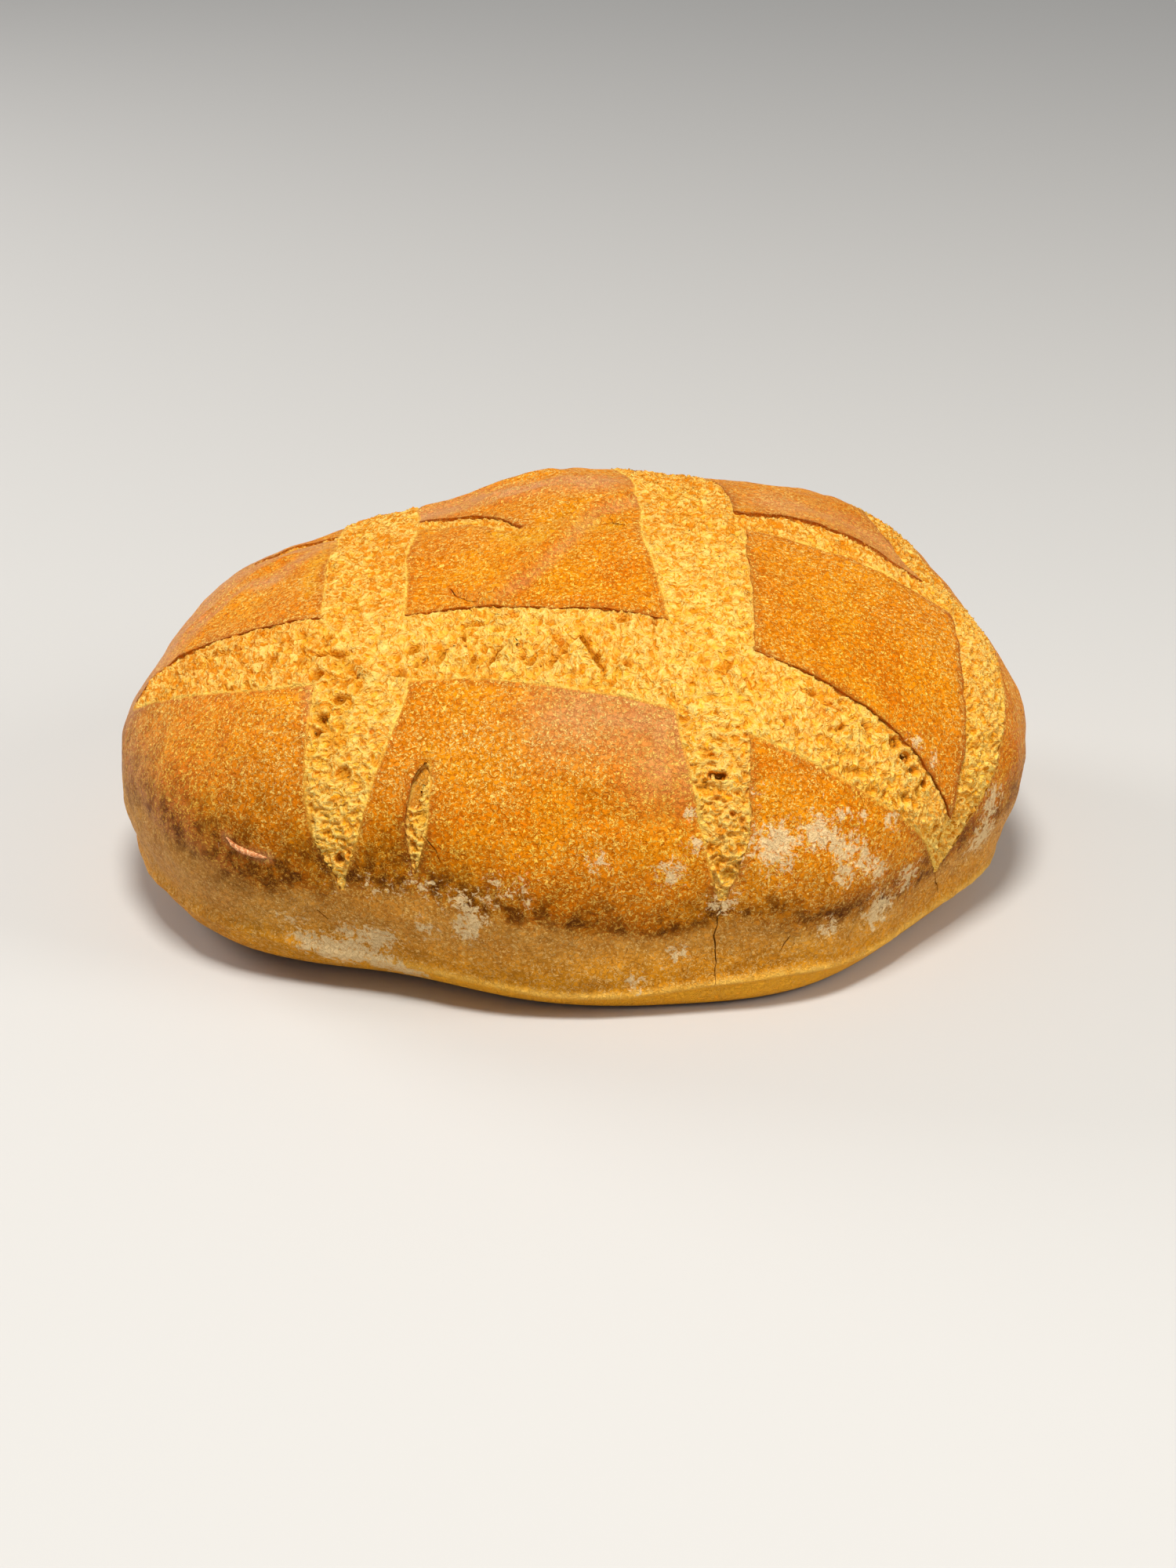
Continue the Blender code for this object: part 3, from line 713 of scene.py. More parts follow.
def strip(floor, roof):
    """A closed strip between two grids of points, in rows and columns: its floor and its roof."""
    rows, columns = floor.shape[:2]
    bpy.ops.mesh.primitive_grid_add(x_subdivisions=columns - 1, y_subdivisions=rows - 1, size=1.0)
    piece = bpy.context.object
    start_editing(piece, "SELECT")
    bpy.ops.mesh.extrude_region_move(TRANSFORM_OT_translate={"value": (0, 0, 1)})
    stop_editing()
    points = vertex_array(piece.data)
    x, y, z = points.T.round(5)
    points[np.lexsort((x, y, z))] = np.concatenate((floor, roof)).reshape(-1, 3)
    place_vertices(piece.data, points)
    start_editing(piece, "SELECT")
    bpy.ops.mesh.normals_make_consistent(inside=False)
    stop_editing()
    return piece


def trench_cutter(name):
    """A strip along a slash with ragged sides that lean in over the crumb."""
    slash = Slash(name, TRENCH_STEP)
    rows = len(slash.places)
    side = np.tile(ACROSS, rows)
    row = np.repeat(np.arange(rows), len(ACROSS))
    middle = slash.middle[row]
    half = slash.half[row]
    gap = slash.gap(row, side)
    ragged = layered(middle + side[:, None] * SIDES_APART, RAGGED)
    ragged *= np.minimum(1.0, half / RAGGED_FROM) * (1 + RAGGED_PER_GAP * gap)
    target = middle + slash.across[row] * ((half + ragged) * side)[:, None]
    place = slash.places[row]
    for _ in range(3):
        place = step_to(place, target)
    on_skin = map_skin(place)
    depth = TRENCH_DEPTH * np.clip(2 * half / FULL_WIDTH, *TRENCH_SHARE)
    down = slopes(place)[2] * depth[:, None]
    lean = LEAN + LEAN_PER_GAP * gap
    spread = slash.across[row] * (side * lean * np.minimum(depth, half))[:, None]
    floor = on_skin - down + spread
    roof = on_skin + down - spread * ROOF_SPREAD
    return strip(floor.reshape(rows, -1, 3), roof.reshape(rows, -1, 3))


def line_on_crust(places, count):
    """A smooth line on the crust: the share along it, its points and the outward normals."""
    share = np.linspace(0, 1, count)
    line = open_curve(places, share)
    points = map_skin(line)
    normal = slopes(line)[2]
    return share, points + normal * crust_relief(points)[:, None], normal


def crack_cutter(places):
    """A narrow wedge that follows a crack and thins out at its ends."""
    share, middle, normal = line_on_crust(places, 30)
    wander = CRACK_WANDER * grain(middle, CRACK_KINKS)[:, None]
    middle = middle + np.cross(normal, np.gradient(middle, axis=0)) * wander
    half = 0.5 * CRACK_WIDTH * between((0.25, 1.0), np.sin(np.pi * share))[:, None]
    reach = half * sideways(middle, normal)
    low = middle - normal * CRACK_DEPTH
    high = middle + normal * CRACK_CLEARANCE
    floor = np.stack((low - 0.3 * reach, low + 0.3 * reach), axis=1)
    roof = np.stack((high - 2.0 * reach, high + 2.0 * reach), axis=1)
    return strip(floor, roof)


def make_flake():
    """The curled flake: a thin crescent that stands up from the crust at one side."""
    share, middle, normal = line_on_crust(FLAKE, 28)
    width = between((0.15, 1.0), np.sin(np.pi * share) ** 0.7)[:, None]
    wobble = (1 + FLAKE_WOBBLE * grain(middle, FLAKE_KINKS))[:, None]
    across = sideways(middle, normal) * FLAKE_HALF_WIDTH * width
    up = normal * FLAKE_HEIGHT * width * wobble
    curls = np.cos(0.5 * np.pi * ACROSS) + FLAKE_CURL * (ACROSS > 0)
    roof = [middle + across * part + up * curl for part, curl in zip(ACROSS, curls)]
    floor = [middle + across * part - normal * FLAKE_ROOT for part in ACROSS]
    flake = strip(np.stack(floor, axis=1), np.stack(roof, axis=1))
    flake.name = "flake"
    flake.data.shade_smooth()
    return flake


def cut(piece, cutter):
    modifier = piece.modifiers.new("trench", "BOOLEAN")
    modifier.operation = "DIFFERENCE"
    modifier.solver = "MANIFOLD"
    modifier.object = cutter
    apply_modifier(piece, modifier)
    bpy.data.objects.remove(cutter)


def paint_toast(mesh, points):
    """Where the shoulder is browned and the wall under it is pale, with the foot's ridge."""
    x, y, z = points.T
    turn = np.arctan2(y - CENTRE[1], x - CENTRE[0])
    sway = layered(points, TOAST_SWAY)
    level = np.where(y < FRONT_EDGE, np.interp(x, TOAST_AT, TOAST_LEVEL), REAR_TOAST_LEVEL)
    over = z + sway - level
    strength = between(TOAST_STRENGTH, fade(-np.sin(turn + TOAST_TURN), -0.5, 0.8))
    strength *= between(LEFT_END_STRENGTH, fade(x, *LEFT_END))
    above = between(TOAST_ABOVE, fade(-x, 0.000, 0.080))
    below = between(TOAST_BELOW, fade(-x, 0.065, 0.090))
    paint(mesh, "toast", strength * hump(over, np.where(over > 0, above, below)))
    paint(mesh, "wall", fade(-over, -0.0005, 0.0045))
    over_ridge = z - ridge_level(points)
    foot = fade(-over_ridge - 0.3 * sway, -0.0012, 0.0012)
    brow = hump(over_ridge, BROW_REACH) * fade(-y, 0.020, 0.040)
    paint(mesh, "foot", foot * fade(x, *FOOT_FADE))
    paint(mesh, "brow", brow * fade(x, *FOOT_FADE))
    paint(mesh, "height", z * MILLIMETRES)


def paint_marks(mesh, points):
    """Where the crust is floured, worn pale with a painted sheen, or stretched golden."""
    flour = np.zeros(len(points))
    for weight, spots in FLOUR.items():
        for x, y, radius in spots:
            spread = hump(near_place(points, x, y), FLOUR_SPREAD * radius)
            flour = np.maximum(flour, FLOUR_GAIN * weight * spread)
    paint(mesh, "flour", flour)
    for name, lines in (("pale", PALE_AND_SHEEN_LINES), ("gold", GOLD_LINES)):
        strength = [weight * hump(near_line(points, places), reach) for places, reach, weight in lines]
        paint(mesh, name, np.max(strength, axis=0))


def make_crust():
    """The skin with its slashes and cracks cut open."""
    crust = blown_up_cube()
    whole = BVHTree.FromPolygons(
        vertex_array(crust.data).tolist(), [face.vertices[:] for face in crust.data.polygons])
    for name in SLASHES:
        cut(crust, trench_cutter(name))
    for places in CRACKS:
        cut(crust, crack_cutter(places))
    crust.select_set(True)
    bpy.ops.object.shade_smooth_by_angle(angle=np.radians(SHARP_DEGREES))
    points = vertex_array(crust.data)
    edge = np.full(len(points), -1.0)
    tight = np.zeros(len(points))
    for name, (index, inside, side) in measure_slashes(points).items():
        closed = 1.0 - fade(slash_lines[name].gap(index, side), *TIGHT_GAP)
        tight = np.where(inside > edge, closed, tight)
        edge = np.maximum(edge, inside)
    deep = np.array([whole.find_nearest(p)[3] for p in points.tolist()])
    paint(crust.data, "deep", deep * MILLIMETRES)
    paint(crust.data, "rim", -edge * MILLIMETRES)
    paint(crust.data, "tight", tight)
    paint_toast(crust.data, points)
    paint_marks(crust.data, points)
    return crust


def crumb_height(points, measures):
    """The crumb's level over the skin, and how open it is there."""
    level = np.full(len(points), -1.0)
    openness = np.full(len(points), -1.0)
    for name, (index, inside, side) in measures.items():
        slash = slash_lines[name]
        share = np.clip(2 * slash.half[index] / FULL_WIDTH, *CRUMB_SHARE)
        sunk = slash.gap(index, side) * hump(np.maximum(inside, 0), GAP_REACH) * share
        under = UNDER_CRUST_SLOPE * np.maximum(-inside, 0)
        level = np.maximum(level, CRUMB_LEVEL * (2 * share - 1) - sunk - under)
        openness = np.maximum(openness, inside)
    return level, openness


def crosswise_share(measures):
    """1 where the nearest slash runs from front to rear, 0 where it runs along the loaf."""
    inside = {False: [], True: []}
    for name, measure in measures.items():
        inside["crosswise" in name or "nick" in name].append(measure[1])
    lead = np.max(inside[True], axis=0) - np.max(inside[False], axis=0)
    return fade(lead, -0.003, 0.003)


def strands(points, size, stretch):
    """Crests of torn strands, mean 0 and about 1 high, drawn out by the stretch along each axis."""
    scaled = (points / size / np.array(stretch)).tolist()
    crest = np.array([noise.ridged_multi_fractal(p, 0.8, 2.1, 3, 0.9, 2.0) for p in scaled])
    return np.clip((crest - crest.mean()) / crest.std(), -2.0, 2.0)


def flap_height(place, tip, left, right):
    """A flap of crumb that rises from its root to its tip and drops away beyond its edges."""
    tip, left, right = (np.array(corner) for corner in (tip, left, right))
    across = np.column_stack((left - tip, right - tip))
    share = np.linalg.solve(across, (place - tip).T)
    risen = 1 - share[0] - share[1]
    within = np.minimum(share[0], share[1])
    drop = hump(within + 0.10, 0.08) * fade(risen, 0.1, 0.5) * fade(-risen, -1.6, -1.2)
    flap = fade(risen, 0.0, 0.3) * risen * fade(within, -0.03, 0.04) * (risen < 1.1)
    return flap - 0.5 * drop


def crumb_texture(points, place, crosswise):
    """Bubbles, strands, pits, flaps and tears of the torn crumb."""
    sway = [grain(points, SWAY_SIZE, moved) for moved in (3.1, 7.7, 11.3)]
    bent = points + SWAY * np.column_stack(sway)
    patch = fade(grain(points, BUBBLE_PATCH, 2.0), -0.30, 0.35)
    along = strands(bent, STRAND_ALONG, (1.5, 1.0, 1.0))
    over = strands(bent, STRAND_ACROSS, (1.0, 1.7, 1.7))
    height = TEXTURE_LIFT + STRAND_HEIGHT * (crosswise * along + (1 - crosswise) * over)
    height -= LARGE_DEPTH * (1 - bubbles(bent, LARGE_BUBBLE)) * patch
    height -= SMALL_DEPTH * (1 - bubbles(bent, SMALL_BUBBLE, 5.0))
    for x, y, radius, depth in PITS:
        away = near_place(points, x, y) / radius
        height += PIT_LIP * hump(away - 1.3, 0.30) - depth * np.exp(-away ** 4)
    for corners in FLAPS:
        height += FLAP_HEIGHT * flap_height(place, *corners)
    for places in TEARS:
        away = near_line(bent, places) / TEAR_REACH
        height += TEAR_DEPTH * (0.3 * hump(away - 2.2, 1.0) - hump(away, 1.0))
    return height


def open_places(name, low_x, high_x):
    """A flat piece cut down to the places that slashes open, and those places on the map."""
    reach = np.array((high_x - low_x, CRUMB_REACH_Y))
    columns, rows = (reach / CRUMB_STEP).astype(int).tolist()
    bpy.ops.mesh.primitive_grid_add(x_subdivisions=columns, y_subdivisions=rows, size=1.0)
    crumb = bpy.context.object
    crumb.name = name
    flat = vertex_array(crumb.data)[:, :2]
    place = (flat + 0.5) * reach + (low_x, -CRUMB_REACH_Y / 2)
    inside = [measure[1] for measure in measure_slashes(map_skin(place)).values()]
    spare = np.max(inside, axis=0) < -CRUMB_MARGIN
    crumb.data.vertices.foreach_set("select", spare)
    crumb.data.edges.foreach_set("select", np.zeros(len(crumb.data.edges), dtype=bool))
    crumb.data.polygons.foreach_set("select", np.zeros(len(crumb.data.polygons), dtype=bool))
    bpy.ops.object.mode_set(mode="EDIT")
    bpy.ops.mesh.select_mode(type="VERT")
    bpy.ops.mesh.delete(type="VERT")
    stop_editing()
    return crumb, place[~spare]


def make_crumb(name, low_x, high_x):
    """The crumb that shows between two places along the map's x."""
    crumb, place = open_places(name, low_x, high_x)
    points = map_skin(place)
    measures = measure_slashes(points)
    level, openness = crumb_height(points, measures)
    crosswise = crosswise_share(measures)
    texture = crumb_texture(points, place, crosswise) * fade(openness, -0.0010, 0.0008)
    raised = (swell(points) + level + texture)[:, None]
    place_vertices(crumb.data, points + slopes(place)[2] * raised)
    # Where the crumb gets a painted shade: towards the rear and at the left end
    at_left = fade(-place[:, 0], 0.035, 0.060) * fade(place[:, 1], -0.046, -0.028)
    paint(crumb.data, "relief", texture * MILLIMETRES)
    paint(crumb.data, "open", openness * MILLIMETRES)
    paint(crumb.data, "crosswise", crosswise)
    paint(crumb.data, "side_shade", np.maximum(fade(place[:, 1], -0.032, -0.004), at_left))
    solid = crumb.modifiers.new("thickness", "SOLIDIFY")
    solid.thickness = CRUMB_THICKNESS
    solid.offset = -1.0
    apply_modifier(crumb, solid)
    crumb.data.shade_smooth()
    return crumb


def tone(name):
    """One of the TONES in linear light."""
    seen = np.array(TONES[name]) / 255
    linear = np.where(seen <= 0.04045, seen / 12.92, ((seen + 0.055) / 1.055) ** 2.4)
    return (*linear.tolist(), 1.0)


def feed(tree, socket, value):
    """Links a socket to another, or sets it to a plain value."""
    if isinstance(value, bpy.types.NodeSocket):
        tree.links.new(value, socket)
    else:
        socket.default_value = value


def add(tree, kind, inputs, **settings):
    """Adds a node with its settings and feeds its inputs by name or number."""
    node = tree.nodes.new(kind)
    for key, value in settings.items():
        setattr(node, key, value)
    for key, value in inputs.items():
        feed(tree, node.inputs[key], value)
    return node


def sums(tree, operation, first, second=0.0):
    return add(tree, "ShaderNodeMath", {0: first, 1: second}, operation=operation).outputs[0]


def times(tree, first, second):
    return sums(tree, "MULTIPLY", first, second)


def plus(tree, first, second):
    return sums(tree, "ADD", first, second)


def greatest(tree, *values):
    """The greatest of several values."""
    most = values[0]
    for value in values[1:]:
        most = sums(tree, "MAXIMUM", most, value)
    return most


def remap(tree, value, low, high, start=0.0, end=1.0):
    """A smooth step from start to end while the value goes from low to high."""
    inputs = {"Value": value, "From Min": low, "From Max": high, "To Min": start, "To Max": end}
    return add(tree, "ShaderNodeMapRange", inputs, interpolation_type="SMOOTHSTEP").outputs[0]


def vary(tree, share, start, end):
    """A smooth step from start to end while a share goes from 0 to 1."""
    return remap(tree, share, 0.0, 1.0, start, end)


def blend(tree, share, first, second):
    """A colour between two, by a share from 0 to 1."""
    inputs = {0: share, 6: first, 7: second}
    return add(tree, "ShaderNodeMix", inputs, data_type="RGBA", clamp_factor=True).outputs[2]


def cover(tree, colour, name, share, amount=1.0):
    """The colour with a tone laid over it, by a share times an amount."""
    return blend(tree, times(tree, share, amount), colour, tone(name))


def cloud(tree, place, size, detail=2.0, rough=0.5, twist=0.0):
    """Soft noise around 0.5 with lumps of the size given, or of 1 over a linked scale."""
    scale = 1 / size if isinstance(size, float) else size
    inputs = {"Vector": place, "Scale": scale, "Detail": detail, "Roughness": rough, "Distortion": twist}
    return add(tree, "ShaderNodeTexNoise", inputs)


def web(tree, place, size, reach):
    """1 on the borders of random cells of the size given, 0 further in than a share of it."""
    inputs = {"Vector": place, "Scale": 1 / size}
    cells = add(tree, "ShaderNodeTexVoronoi", inputs, feature="DISTANCE_TO_EDGE")
    return remap(tree, cells.outputs["Distance"], 0.02, reach, 1.0, 0.0)


def shift(tree, place, by):
    return add(tree, "ShaderNodeVectorMath", {0: place, 1: by}, operation="ADD").outputs[0]


def painted(tree, name):
    """The number written on the mesh under a name."""
    return add(tree, "ShaderNodeAttribute", {}, attribute_name=name).outputs["Fac"]


def new_group(name, gives):
    """A node group that takes a place and a scale; the tree, its input node and its output node."""
    tree = bpy.data.node_groups.new(name, "ShaderNodeTree")
    tree.interface.new_socket("Place", in_out="INPUT", socket_type="NodeSocketVector")
    tree.interface.new_socket("Scale", in_out="INPUT", socket_type="NodeSocketFloat")
    for label in gives:
        tree.interface.new_socket(label, in_out="OUTPUT", socket_type="NodeSocketFloat")
    return tree, tree.nodes.new("NodeGroupInput"), tree.nodes.new("NodeGroupOutput")


def make_speckle():
    """Curled strokes and their height: lighter ones partly painted highlight, darker partly painted
    shade.
    """
    tree, source, result = new_group("speckle", ("Light", "Dark_and_shade", "Height"))
    place = source.outputs["Place"]
    scale = source.outputs["Scale"]
    curls = cloud(tree, place, scale, 2.0, 0.55, 0.9).outputs[0]
    off_middle = sums(tree, "ABSOLUTE", sums(tree, "SUBTRACT", curls, 0.5))
    lines = remap(tree, off_middle, 0.072, 0.012)
    breaks = cloud(tree, shift(tree, place, (0.31, 0.17, 0.23)), scale, 1.0, 0.5).outputs[0]
    # Light curl lines are partly flecks, partly painted highlight; the dark side by them partly painted
    # shade
    feed(tree, result.inputs["Light"], times(tree, lines, remap(tree, breaks, 0.43, 0.54)))
    feed(tree, result.inputs["Dark_and_shade"], remap(tree, curls, 0.44, 0.33))
    feed(tree, result.inputs["Height"], plus(tree, curls, times(tree, lines, 0.35)))
    return tree


def make_patches():
    """Slow changes of tone, from 0 to 1."""
    tree, source, result = new_group("patches", ("Patch",))
    slow = cloud(tree, source.outputs["Place"], source.outputs["Scale"], 4.0, 0.6, 0.4).outputs[0]
    feed(tree, result.inputs["Patch"], remap(tree, slow, 0.36, 0.66))
    return tree


def use_group(tree, group, place, size):
    node = tree.nodes.new("ShaderNodeGroup")
    node.node_tree = group
    feed(tree, node.inputs["Place"], place)
    node.inputs["Scale"].default_value = 1 / size
    return node.outputs


def new_material(name):
    """A material with its tree, its shader and its object coordinates."""
    material = bpy.data.materials.new(name)
    material.use_nodes = True
    tree = material.node_tree
    place = tree.nodes.new("ShaderNodeTexCoord").outputs["Object"]
    return material, tree, tree.nodes["Principled BSDF"], place


def add_bump(tree, shader, height, strength, distance):
    inputs = {"Strength": strength, "Distance": distance, "Height": height}
    feed(tree, shader.inputs["Normal"], add(tree, "ShaderNodeBump", inputs).outputs[0])


def plate_colour(tree, fine, grit_and_shade, patch, broad, freckle):
    """Browned plates: patches, freckles, worn pale lines with painted sheen, golden lines, strokes,
    edges.
    """
    rim = painted(tree, "rim")
    tight = painted(tree, "tight")
    pale = times(tree, painted(tree, "pale"), vary(tree, freckle, 1.0, 0.6))
    colour = blend(tree, patch, tone("baked"), tone("baked light"))
    colour = cover(tree, colour, "sunny", broad, 0.55)
    colour = cover(tree, colour, "freckle", freckle, 0.30)
    colour = cover(tree, colour, "rim", remap(tree, rim, 2.8, 0.1), vary(tree, freckle, 0.45, 0.9))
    # Pale lines: partly worn crust, partly painted sheen on the top, the left end and the fold's crest
    colour = cover(tree, colour, "rubbed_and_sheen", pale)
    colour = cover(tree, colour, "golden", painted(tree, "gold"), vary(tree, freckle, 1.0, 0.6))
    # Darker grit and strokes: partly real marks, partly painted shade beside tiny blisters
    colour = cover(tree, colour, "grit_and_shade", grit_and_shade["Dark_and_shade"], 0.30)
    colour = cover(tree, colour, "stroke_and_shade", fine["Dark_and_shade"], 0.85)
    # Flecks in the light curl lines: partly real, partly painted highlights on tiny blisters
    fleck_and_highlight = blend(tree, broad, tone("fleck_and_highlight"), tone("pale fleck"))
    colour = blend(tree, fine["Light"], colour, fleck_and_highlight)
    # The same pale tint over the flecks, partly painted sheen
    colour = cover(tree, colour, "rubbed fleck", pale, 0.6)
    seam = times(tree, remap(tree, rim, 0.75, 0.1), vary(tree, freckle, 0.85, 0.4))
    colour = cover(tree, colour, "seam", seam, tight)
    shade = remap(tree, rim, 0.6, 0.1, 0.0, 0.5)
    return cover(tree, colour, "shaded edge", shade, vary(tree, tight, 1.0, 0.0))


def wall_colour(tree, fine, patch, freckle, high):
    """The paler wall under the shoulder, yellower towards its foot."""
    colour = blend(tree, remap(tree, high, 9.0, 21.0), tone("low wall"), tone("high wall"))
    colour = cover(tree, colour, "wall patch", patch, 0.45)
    colour = cover(tree, colour, "wall freckle", freckle, 0.40)
    # Darker strokes partly painted shade, lighter flecks partly painted highlight, as on the plates
    colour = cover(tree, colour, "wall stroke", fine["Dark_and_shade"], 0.50)
    return cover(tree, colour, "wall fleck", fine["Light"], 0.70)


def flour_share(tree, place, fine):
    """Where flour lies: in broken spots, and less in the dark strokes."""
    dust = cloud(tree, place, DUST, 3.0, 0.7, 0.6).outputs[0]
    broken = plus(tree, painted(tree, "flour"), times(tree, sums(tree, "SUBTRACT", dust, 0.5), 2.8))
    return times(tree, remap(tree, broken, 0.50, 0.85, 0.0, 0.88), vary(tree, fine["Dark_and_shade"], 1.0, 0.35))


def crust_material(speckle, patches):
    material, tree, shader, place = new_material("crust")
    fine = use_group(tree, speckle, place, STROKES)
    grit_and_shade = use_group(tree, speckle, shift(tree, place, (0.7, 0.1, 0.6)), GRIT)
    patch = use_group(tree, patches, place, PATCHES)["Patch"]
    broad = use_group(tree, patches, shift(tree, place, (0.5, 0.2, 0.1)), BROAD_PATCHES)["Patch"]
    freckle = use_group(tree, patches, shift(tree, place, (0.9, 0.4, 0.3)), FRECKLES)["Patch"]
    high = painted(tree, "height")
    colour = plate_colour(tree, fine, grit_and_shade, patch, broad, freckle)
    wall = times(tree, painted(tree, "wall"), vary(tree, broad, 0.8, 1.0))
    colour = blend(tree, wall, colour, wall_colour(tree, fine, patch, freckle, high))
    toast = times(tree, painted(tree, "toast"), vary(tree, freckle, 0.50, 1.05))
    # Flecks in the char: partly real, partly painted highlight
    char = blend(tree, times(tree, fine["Light"], 0.55), tone("char"), tone("char fleck"))
    colour = blend(tree, toast, colour, char)
    foot = times(tree, painted(tree, "foot"), vary(tree, freckle, 0.7, 1.0))
    # Darker strokes in the foot: partly real, partly painted shade
    glow = blend(tree, times(tree, fine["Dark_and_shade"], 0.5), tone("foot"), tone("foot stroke"))
    colour = blend(tree, foot, colour, glow)
    colour = cover(tree, colour, "brow", painted(tree, "brow"), vary(tree, freckle, 0.9, 0.4))
    base = blend(tree, freckle, tone("base"), tone("base freckle"))
    colour = blend(tree, remap(tree, high, 1.0, 0.2), colour, base)
    flour = flour_share(tree, place, fine)
    colour = cover(tree, colour, "flour", flour)
    cut_face = remap(tree, painted(tree, "deep"), 0.55, 1.3)
    # Flecks on the cut face: partly real, partly painted highlight
    torn = blend(tree, fine["Light"], tone("torn"), tone("torn fleck"))
    feed(tree, shader.inputs["Base Color"], blend(tree, cut_face, colour, torn))
    feed(tree, shader.inputs["Roughness"], vary(tree, plus(tree, flour, cut_face), 0.42, 0.85))
    shader.inputs["Specular IOR Level"].default_value = 0.04
    bumps = cloud(tree, place, BUMPS, 3.0, 0.6).outputs[0]
    height = plus(tree, times(tree, fine["Height"], 0.5), times(tree, bumps, 0.7))
    add_bump(tree, shader, height, 1.0, CRUST_BUMP)
    return material


def flake_material(speckle):
    material, tree, shader, place = new_material("flake")
    fine = use_group(tree, speckle, place, FLAKE_STROKES)
    # Light flecks partly painted highlight, dark strokes partly painted shade
    colour = blend(tree, fine["Light"], tone("flake"), tone("flake fleck"))
    feed(tree, shader.inputs["Base Color"], cover(tree, colour, "flake stroke", fine["Dark_and_shade"], 0.8))
    shader.inputs["Roughness"].default_value = 0.6
    return material


def crumb_threads(tree, bent):
    """Fine threads that lie across the slash they are in."""
    threads = []
    for turn, scale in THREADS:
        inputs = {"Vector": bent, "Rotation": (0.0, 0.0, turn), "Scale": scale}
        laid = add(tree, "ShaderNodeMapping", inputs).outputs[0]
        threads.append(cloud(tree, laid, THREAD_SIZE, 2.0, 0.65, 0.6).outputs[0])
    inputs = {0: painted(tree, "crosswise"), 2: threads[0], 3: threads[1]}
    return add(tree, "ShaderNodeMix", inputs, data_type="FLOAT", clamp_factor=True).outputs[0]


def crumb_material(speckle, patches):
    material, tree, shader, place = new_material("crumb")
    sway = shift(tree, cloud(tree, place, CRUMB_SWAY_SIZE, 1.0).outputs[1], (-0.5, -0.5, -0.5))
    sway = add(tree, "ShaderNodeVectorMath", {0: sway, 3: CRUMB_SWAY}, operation="SCALE").outputs[0]
    bent = shift(tree, place, sway)
    wide = web(tree, bent, WIDE_CELLS, 0.20)
    narrow = web(tree, bent, NARROW_CELLS, 0.28)
    fine = use_group(tree, speckle, bent, CRUMB_STROKES)
    patch = use_group(tree, patches, place, CRUMB_PATCHES)["Patch"]
    thread = crumb_threads(tree, bent)
    relief = painted(tree, "relief")
    lit = greatest(tree, times(tree, wide, 0.55), times(tree, narrow, 0.4),
                   times(tree, remap(tree, thread, 0.52, 0.60), 0.75), times(tree, fine["Light"], 0.85))
    colour = blend(tree, patch, tone("crumb"), tone("crumb light"))
    colour = cover(tree, colour, "crumb lit", lit, remap(tree, relief, -0.9, 0.1, 0.3, 1.0))
    # Painted shade in the low gaps between threads and beside the darker strokes
    colour = cover(tree, colour, "crumb gap shade", remap(tree, thread, 0.48, 0.39), 0.8)
    colour = cover(tree, colour, "crumb stroke", fine["Dark_and_shade"], 0.75)
    # Painted shade on the crumb at the rear and the left end, strongest between threads
    side_shade = remap(tree, thread, 0.55, 0.44, 0.10, 0.75)
    colour = cover(tree, colour, "crumb side shade", painted(tree, "side_shade"), side_shade)
    # Painted shade deep in pits and tears
    colour = cover(tree, colour, "crumb pit shade", remap(tree, relief, -0.7, -1.8, 0.0, 0.85))
    colour = cover(tree, colour, "crumb edge", remap(tree, painted(tree, "open"), 0.6, 0.0, 0.0, 0.8))
    feed(tree, shader.inputs["Base Color"], colour)
    shader.inputs["Roughness"].default_value = 0.75
    shader.inputs["Specular IOR Level"].default_value = 0.08
    cells = plus(tree, times(tree, wide, 0.35), times(tree, narrow, 0.25))
    strokes = plus(tree, times(tree, thread, 0.8), times(tree, fine["Height"], 0.6))
    add_bump(tree, shader, plus(tree, cells, strokes), 0.9, CRUMB_BUMP)
    return material


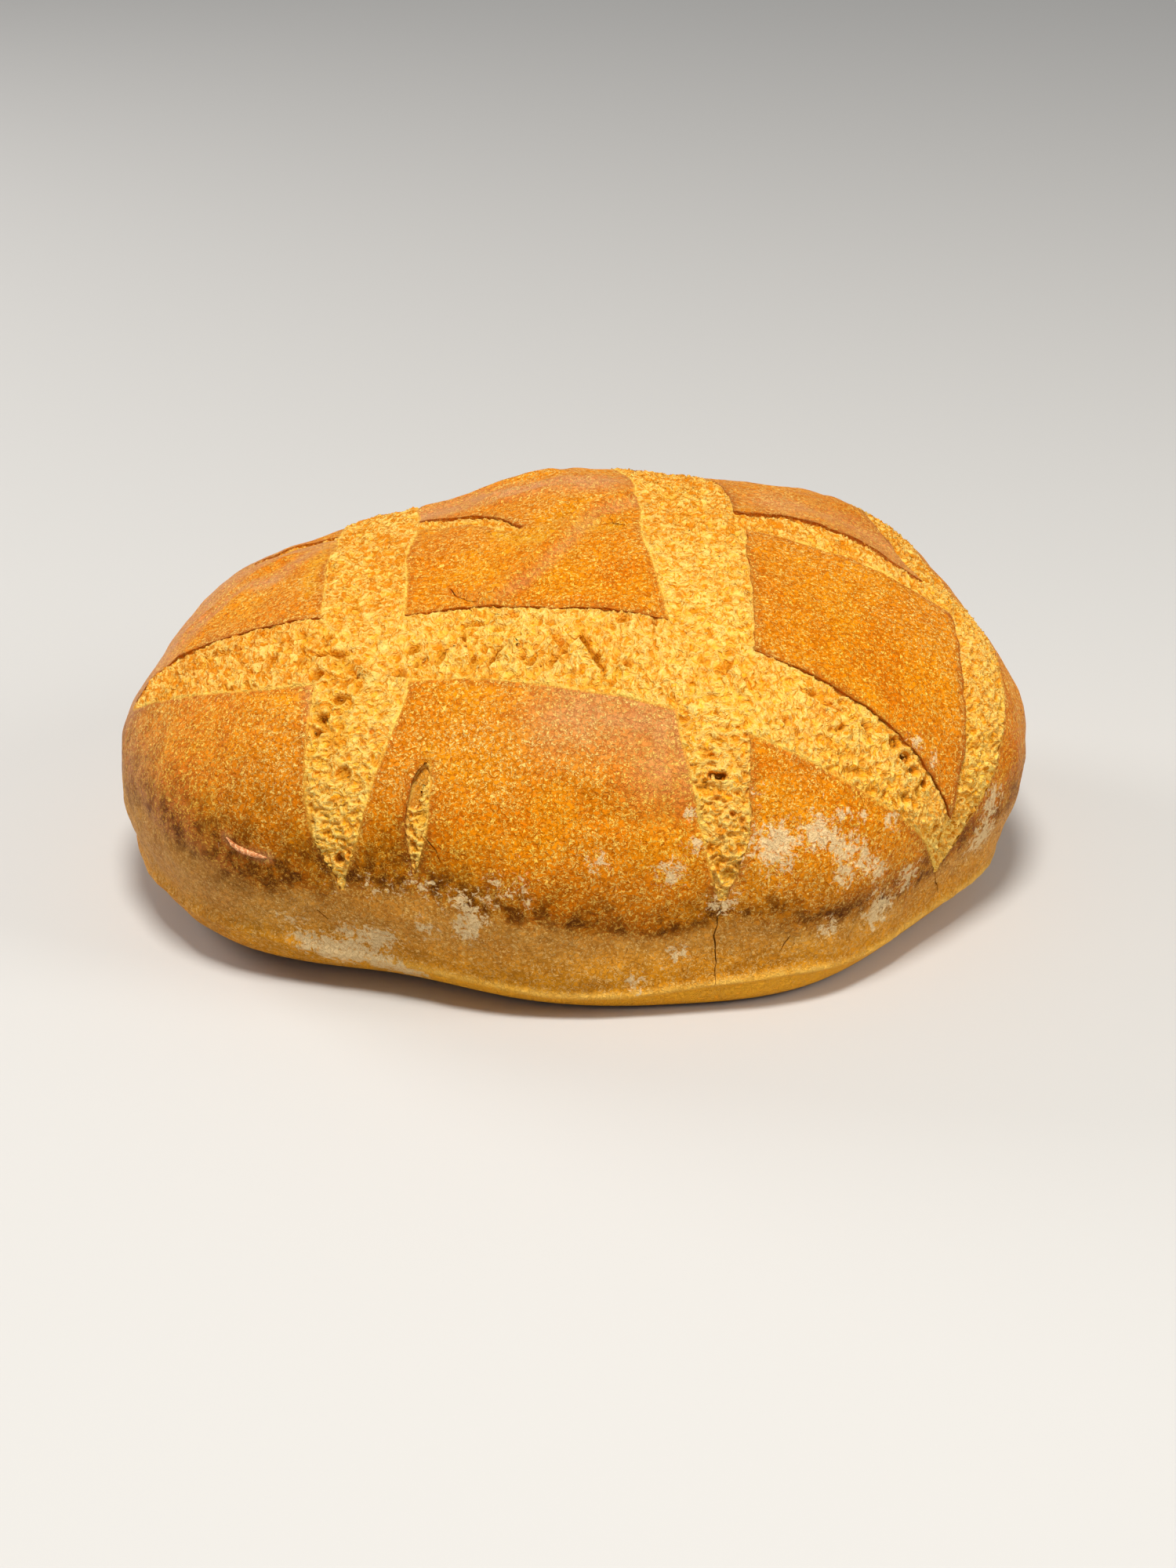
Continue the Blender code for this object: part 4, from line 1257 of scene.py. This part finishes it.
def add_camera():
    turn = np.radians(CAMERA_AZIMUTH)
    rise = np.radians(CAMERA_ELEVATION)
    back = Vector((np.sin(turn) * np.cos(rise), -np.cos(turn) * np.cos(rise), np.sin(rise)))
    data = bpy.data.cameras.new("camera")
    data.lens = CAMERA_LENS
    data.sensor_width = SENSOR
    data.clip_start = 0.01
    camera = bpy.data.objects.new("camera", data)
    camera.location = Vector(CAMERA_TARGET) + back * CAMERA_DISTANCE
    camera.rotation_euler = (-back).to_track_quat("-Z", "Y").to_euler()
    bpy.context.scene.collection.objects.link(camera)
    bpy.context.scene.camera = camera


def add_light(name, place, target, size, watts, colour):
    data = bpy.data.lights.new(name, "AREA")
    data.shape = "DISK"
    data.size = size
    data.energy = watts
    data.color = colour
    light = bpy.data.objects.new(name, data)
    light.location = place
    aim = Vector(target) - Vector(place)
    light.rotation_euler = aim.to_track_quat("-Z", "Y").to_euler()
    bpy.context.scene.collection.objects.link(light)


def add_floor():
    bpy.ops.mesh.primitive_plane_add(size=FLOOR_SIZE, location=(0, 0, FLOOR_LEVEL))
    floor = bpy.context.object
    floor.name = "floor"
    paper = bpy.data.materials.new("floor")
    paper.use_nodes = True
    shader = paper.node_tree.nodes["Principled BSDF"]
    shader.inputs["Base Color"].default_value = FLOOR_COLOUR
    shader.inputs["Roughness"].default_value = 0.8
    floor.data.materials.append(paper)


def add_studio():
    world = bpy.data.worlds.new("studio")
    world.use_nodes = True
    background = world.node_tree.nodes["Background"]
    background.inputs["Color"].default_value = WORLD_COLOUR
    background.inputs["Strength"].default_value = WORLD_STRENGTH
    bpy.context.scene.world = world
    for name, light in LIGHTS.items():
        add_light(name, *light)
    bpy.context.scene.view_settings.view_transform = "Standard"


add_camera()
add_floor()
add_studio()
speckle = make_speckle()
patches = make_patches()
crust = make_crust()
crust.data.materials.clear()
crust.data.materials.append(crust_material(speckle, patches))
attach(crust, "root")
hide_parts("loaf")
flake = make_flake()
flake.data.materials.append(flake_material(speckle))
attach(flake, "root")
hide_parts("loaf")
crumb_look = crumb_material(speckle, patches)
for name, low_x, high_x in CRUMBS:
    crumb = make_crumb(name, low_x, high_x)
    crumb.data.materials.append(crumb_look)
    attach(crumb, "root")
    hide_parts("loaf")
